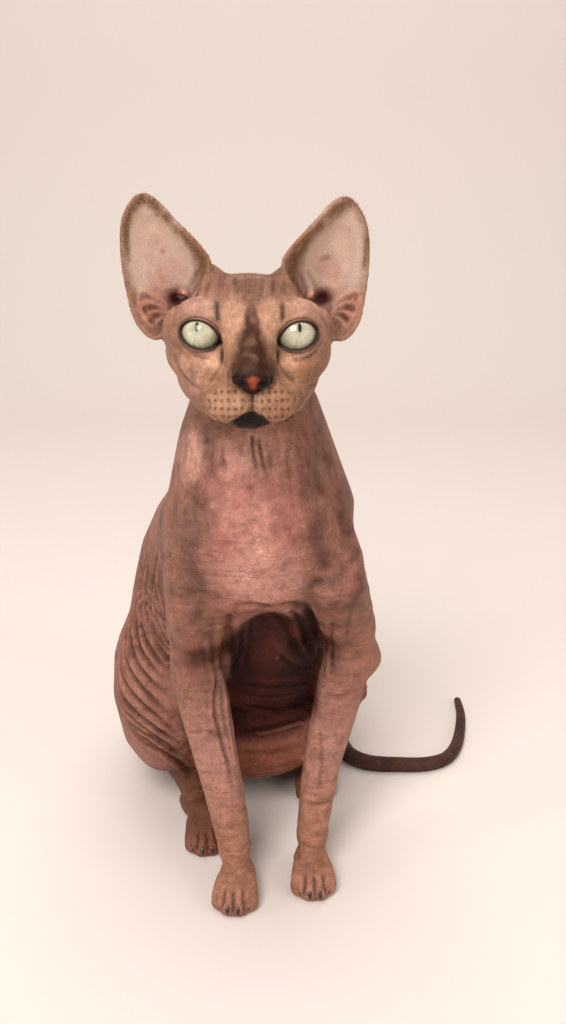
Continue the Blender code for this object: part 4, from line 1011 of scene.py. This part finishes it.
# Lid rims. The bare edge of each lid is dark, moist skin, thicker at the inner corner, which runs down
# towards the nose.
LID_OPENING = (9.1, 6.15)
LID_TILT = 17.0
EYE_SPLAY = 9.0
rim_material, nodes = material_of("moist_lid_skin")
where = add(nodes, "ShaderNodeTexCoord").outputs["Object"]
grain = add(nodes, "ShaderNodeTexNoise", {"Vector": where, "Scale": 1 / 0.0008, "Detail": 3.0})
shades_of = add(nodes, "ShaderNodeValToRGB", {"Fac": grain.outputs["Fac"]})
shades_of.color_ramp.elements[0].color = (*linear("#1E1310"), 1)
shades_of.color_ramp.elements[1].color = (*linear("#3B271F"), 1)
bump = add(nodes, "ShaderNodeBump", {"Strength": 0.3, "Distance": 0.0002, "Height": grain.outputs["Fac"]})
edge = add(nodes, "ShaderNodeAttribute", attribute_name="edge").outputs["Fac"]
lid_colour = add(nodes, "ShaderNodeMix", {"Factor": edge}, data_type="RGBA")
lid_colour.inputs["A"].default_value = (*linear("#8A6350"), 1)
nodes.links.new(shades_of.outputs["Color"], lid_colour.inputs["B"])
surface = add(nodes, "ShaderNodeBsdfPrincipled", {
    "Base Color": lid_colour.outputs["Result"], "Roughness": 0.5, "IOR": 1.4, "Specular IOR Level": 0.25,
    "Normal": bump.outputs[0]})
add(nodes, "ShaderNodeOutputMaterial", {"Surface": surface.outputs[0]})


def tube_of(name, points, radii, closed=False):
    """A round tube along world points in metres."""
    data = bpy.data.curves.new(name, "CURVE")
    data.dimensions = "3D"
    data.bevel_depth = 1.0
    data.bevel_resolution = 3
    data.use_fill_caps = not closed
    spline = data.splines.new("POLY")
    spline.points.add(len(points) - 1)
    for spot, place, radius in zip(spline.points, points, radii):
        spot.co = (*place, 1.0)
        spot.radius = radius
    spline.use_cyclic_u = closed
    mesh = taken(object_of(name, data))
    mesh.shade_smooth()
    return mesh


rims = []
for side in (-1, 1):
    frame_of_eye = HEAD @ placed((side * EYE_SPACING / 2000, EYE_DEPTH / 1000, 0.0), yaw=side * EYE_SPLAY)
    tilt = math.radians(LID_TILT) * side
    points = []
    radii = []
    for angle in np.linspace(0, 2 * math.pi, 72, endpoint=False):
        inner = max(0.0, -side * math.cos(angle)) ** 10
        x = (LID_OPENING[0] + 1.5 * inner) * math.cos(angle)
        z = LID_OPENING[1] * math.sin(angle) * abs(math.sin(angle)) ** 0.25 - 0.5 * inner
        x, z = x * math.cos(tilt) - z * math.sin(tilt), x * math.sin(tilt) + z * math.cos(tilt)
        out = EYE_RADIUS + 1.0
        points.append(frame_of_eye @ (Vector((x, -math.sqrt(out**2 - x**2 - z**2), z)) / 1000))
        radii.append((0.95 + 0.4 * inner) / 1000)
    rim = tube_of("lid_rim", points, radii, closed=True)
    across = seen_in(frame_of_eye, places_of(rim))
    lid_x = across[:, 0] * math.cos(tilt) + across[:, 2] * math.sin(tilt)
    lid_z = across[:, 2] * math.cos(tilt) - across[:, 0] * math.sin(tilt)
    away = np.hypot(lid_x / LID_OPENING[0], lid_z / LID_OPENING[1])
    corner = stepped(-side * lid_x, 7.5, 9.0)
    edge = rim.attributes.new("edge", "FLOAT", "POINT")
    edge.data.foreach_set("value", np.maximum(1 - stepped(away, 0.97, 1.07), corner).astype(np.float32))
    rims.append(rim)
lid_rims = object_of("lid_rims", gathered(rims))
lid_rims.data.shade_smooth()
lid_rims.data.materials.clear()
lid_rims.data.materials.append(rim_material)
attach(lid_rims, "root")


# Ear down. The only coat that stands out is a brown fuzz of hairs a millimetre or two long along the
# inner edges and the tips of the ears.
hair_material, nodes = material_of("ear_down")
where = add(nodes, "ShaderNodeTexCoord").outputs["Object"]
strand = add(nodes, "ShaderNodeTexNoise", {"Vector": where, "Scale": 1 / 0.0009, "Detail": 2.0})
hair_shades = add(nodes, "ShaderNodeValToRGB", {"Fac": strand.outputs["Fac"]})
hair_shades.color_ramp.elements[0].color = (*linear("#5A3F2C"), 1)
hair_shades.color_ramp.elements[1].color = (*linear("#C4A37E"), 1)
hair_shades.color_ramp.elements[0].position = 0.35
hair_shades.color_ramp.elements[1].position = 0.65
surface = add(nodes, "ShaderNodeBsdfPrincipled", {
    "Base Color": hair_shades.outputs["Color"], "Roughness": 0.6, "IOR": 1.55})
add(nodes, "ShaderNodeOutputMaterial", {"Surface": surface.outputs[0]})
HAIRS_PER_BAND = (1500, 1500, 350, 350)
HAIR_WIDTH = 0.1
points = []
faces = []
patches = []
for (pixels, width), count in zip(EAR_BANDS, HAIRS_PER_BAND):
    middle_line = smooth_line(pixels, 12)
    for hair in range(count):
        at = rng.uniform(0, len(middle_line) - 1.001)
        spot = middle_line[int(at)] + (middle_line[int(at) + 1] - middle_line[int(at)]) * (at % 1)
        spot = spot + rng.normal(0, width * 0.9, 2)
        root, normal, number, away = tree.ray_cast(VIEWPOINT, sight(*spot))
        if root is None or seen_in(HEAD, np.array([root[:]]) * 1000)[0, 1] > 45:
            continue
        stray = Vector(rng.normal(0, 0.45, 3))
        lie = (normal * 0.45 + Vector((0, -0.1, 0.55)) + stray).normalized()
        length = rng.uniform(0.9, 2.0) / 1000
        aside = lie.cross(normal + Vector((0.01, 0.02, 0.0))).normalized() * HAIR_WIDTH / 1000
        above = lie.cross(aside).normalized() * HAIR_WIDTH / 1000
        start = len(points)
        base = root - normal * 0.0002
        points += [base + aside, base - aside * 0.5 + above * 0.87, base - aside * 0.5 - above * 0.87,
                   base + lie * length]
        faces += [(start, start + 1, start + 3), (start + 1, start + 2, start + 3), (start + 2, start, start + 3)]
        place = HEAD.inverted() @ root
        patches.append((0.5 + math.atan2(place.x, 0.08 - place.y) / 3.2, 0.2 + place.z * 8))
mesh = bpy.data.meshes.new("ear_down")
mesh.from_pydata([p[:] for p in points], [], faces)
unwrap = mesh.uv_layers.new(name="OFBake")
CORNERS = ((-0.0015, -0.0015), (0.0015, -0.0015), (0.0, 0.0015))
for number, (u, v) in enumerate(np.repeat(patches, 3, axis=0)):
    for corner, (du, dv) in enumerate(CORNERS):
        unwrap.data[3 * number + corner].uv = (u + du, v + dv)
mesh.materials.append(hair_material)
down_piece = object_of("ear_down", mesh)
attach(down_piece, "root")


# Claws. Horn grows from the end of each toe, and bends down to a blunt point.
CLAW_RADIUS = 1.65
claw_material, nodes = material_of("polished_horn")
where = add(nodes, "ShaderNodeTexCoord").outputs["Object"]
layers = add(nodes, "ShaderNodeTexNoise", {"Vector": where, "Scale": 1 / 0.0016, "Detail": 3.0})
horn = add(nodes, "ShaderNodeValToRGB", {"Fac": layers.outputs["Fac"]})
horn.color_ramp.elements[0].color = (*linear("#17110E"), 1)
horn.color_ramp.elements[1].color = (*linear("#4A3A30"), 1)
surface = add(nodes, "ShaderNodeBsdfPrincipled", {
    "Base Color": horn.outputs["Color"], "Roughness": 0.22, "IOR": 1.54})
add(nodes, "ShaderNodeOutputMaterial", {"Surface": surface.outputs[0]})
claws = []
for own_frame, toes in paw_frames:
    for x, forward in toes:
        line = smooth_line([(x * 1.05, -forward - 2.5, 7.3), (x * 1.05, -forward - 4.8, 6.7),
                            (x * 1.05, -forward - 7.3, 4.4)], 5)
        sizes = np.interp(np.linspace(0, 1, len(line)), (0, 0.5, 0.85, 1), (1.0, 0.85, 0.45, 0.15)) * CLAW_RADIUS
        claws.append(tube_of("claw", [own_frame @ Vector(p / 1000) for p in line], sizes / 1000))
claw_set = object_of("claws", gathered(claws))
claw_set.data.shade_smooth()
claw_set.data.materials.clear()
claw_set.data.materials.append(claw_material)
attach(claw_set, "root")


# Studio. A pale floor and soft lamps, with a window to the left that shows in the eyes.
FLOOR_COLOUR = "#E4DCD6"
sweep = [(y, 0.0) for y in (-3.0, 0.9)]
sweep += [(0.9 + 0.5 * math.sin(a), 0.5 - 0.5 * math.cos(a)) for a in np.linspace(0.1, math.pi / 2, 14)]
sweep += [(1.4, 3.5)]
floor_mesh = bpy.data.meshes.new("floor")
floor_mesh.from_pydata([(x, y, z) for y, z in sweep for x in (-4.0, 4.0)], [],
                       [(i, i + 1, i + 3, i + 2) for i in range(0, 2 * len(sweep) - 2, 2)])
floor_mesh.shade_smooth()
floor = object_of("floor", floor_mesh)
floor_material, nodes = material_of("matt_floor")
surface = add(nodes, "ShaderNodeBsdfPrincipled", {"Base Color": (*linear(FLOOR_COLOUR), 1), "Roughness": 0.9})
add(nodes, "ShaderNodeOutputMaterial", {"Surface": surface.outputs[0]})
floor_mesh.materials.append(floor_material)
LAMPS = (("key", (-0.4, -1.2, 1.45), 27.0, 0.8, (1.0, 0.95, 0.9)),
         ("window", (-1.1, -0.5, 0.38), 1.8, 0.12, (1.0, 0.98, 0.96)),
         ("fill", (1.3, -0.9, 0.9), 6.0, 0.9, (1.0, 0.93, 0.88)),
         ("back", (0.0, 0.3, 1.9), 16.0, 1.4, (1.0, 0.96, 0.93)))
for name, place, power, size, colour in LAMPS:
    lamp = bpy.data.lights.new(name, "AREA")
    lamp.energy = power
    lamp.size = size
    lamp.color = colour
    light = object_of(name, lamp)
    light.location = place
    light.rotation_euler = (Vector((0, -0.05, 0.2)) - Vector(place)).to_track_quat("-Z", "Y").to_euler()
world = bpy.data.worlds.new("studio")
bpy.context.scene.world = world
world.use_nodes = True
world.node_tree.nodes["Background"].inputs["Color"].default_value = (*linear("#F2E4DC"), 1)
world.node_tree.nodes["Background"].inputs["Strength"].default_value = 0.36
bpy.context.scene.view_settings.view_transform = "Standard"
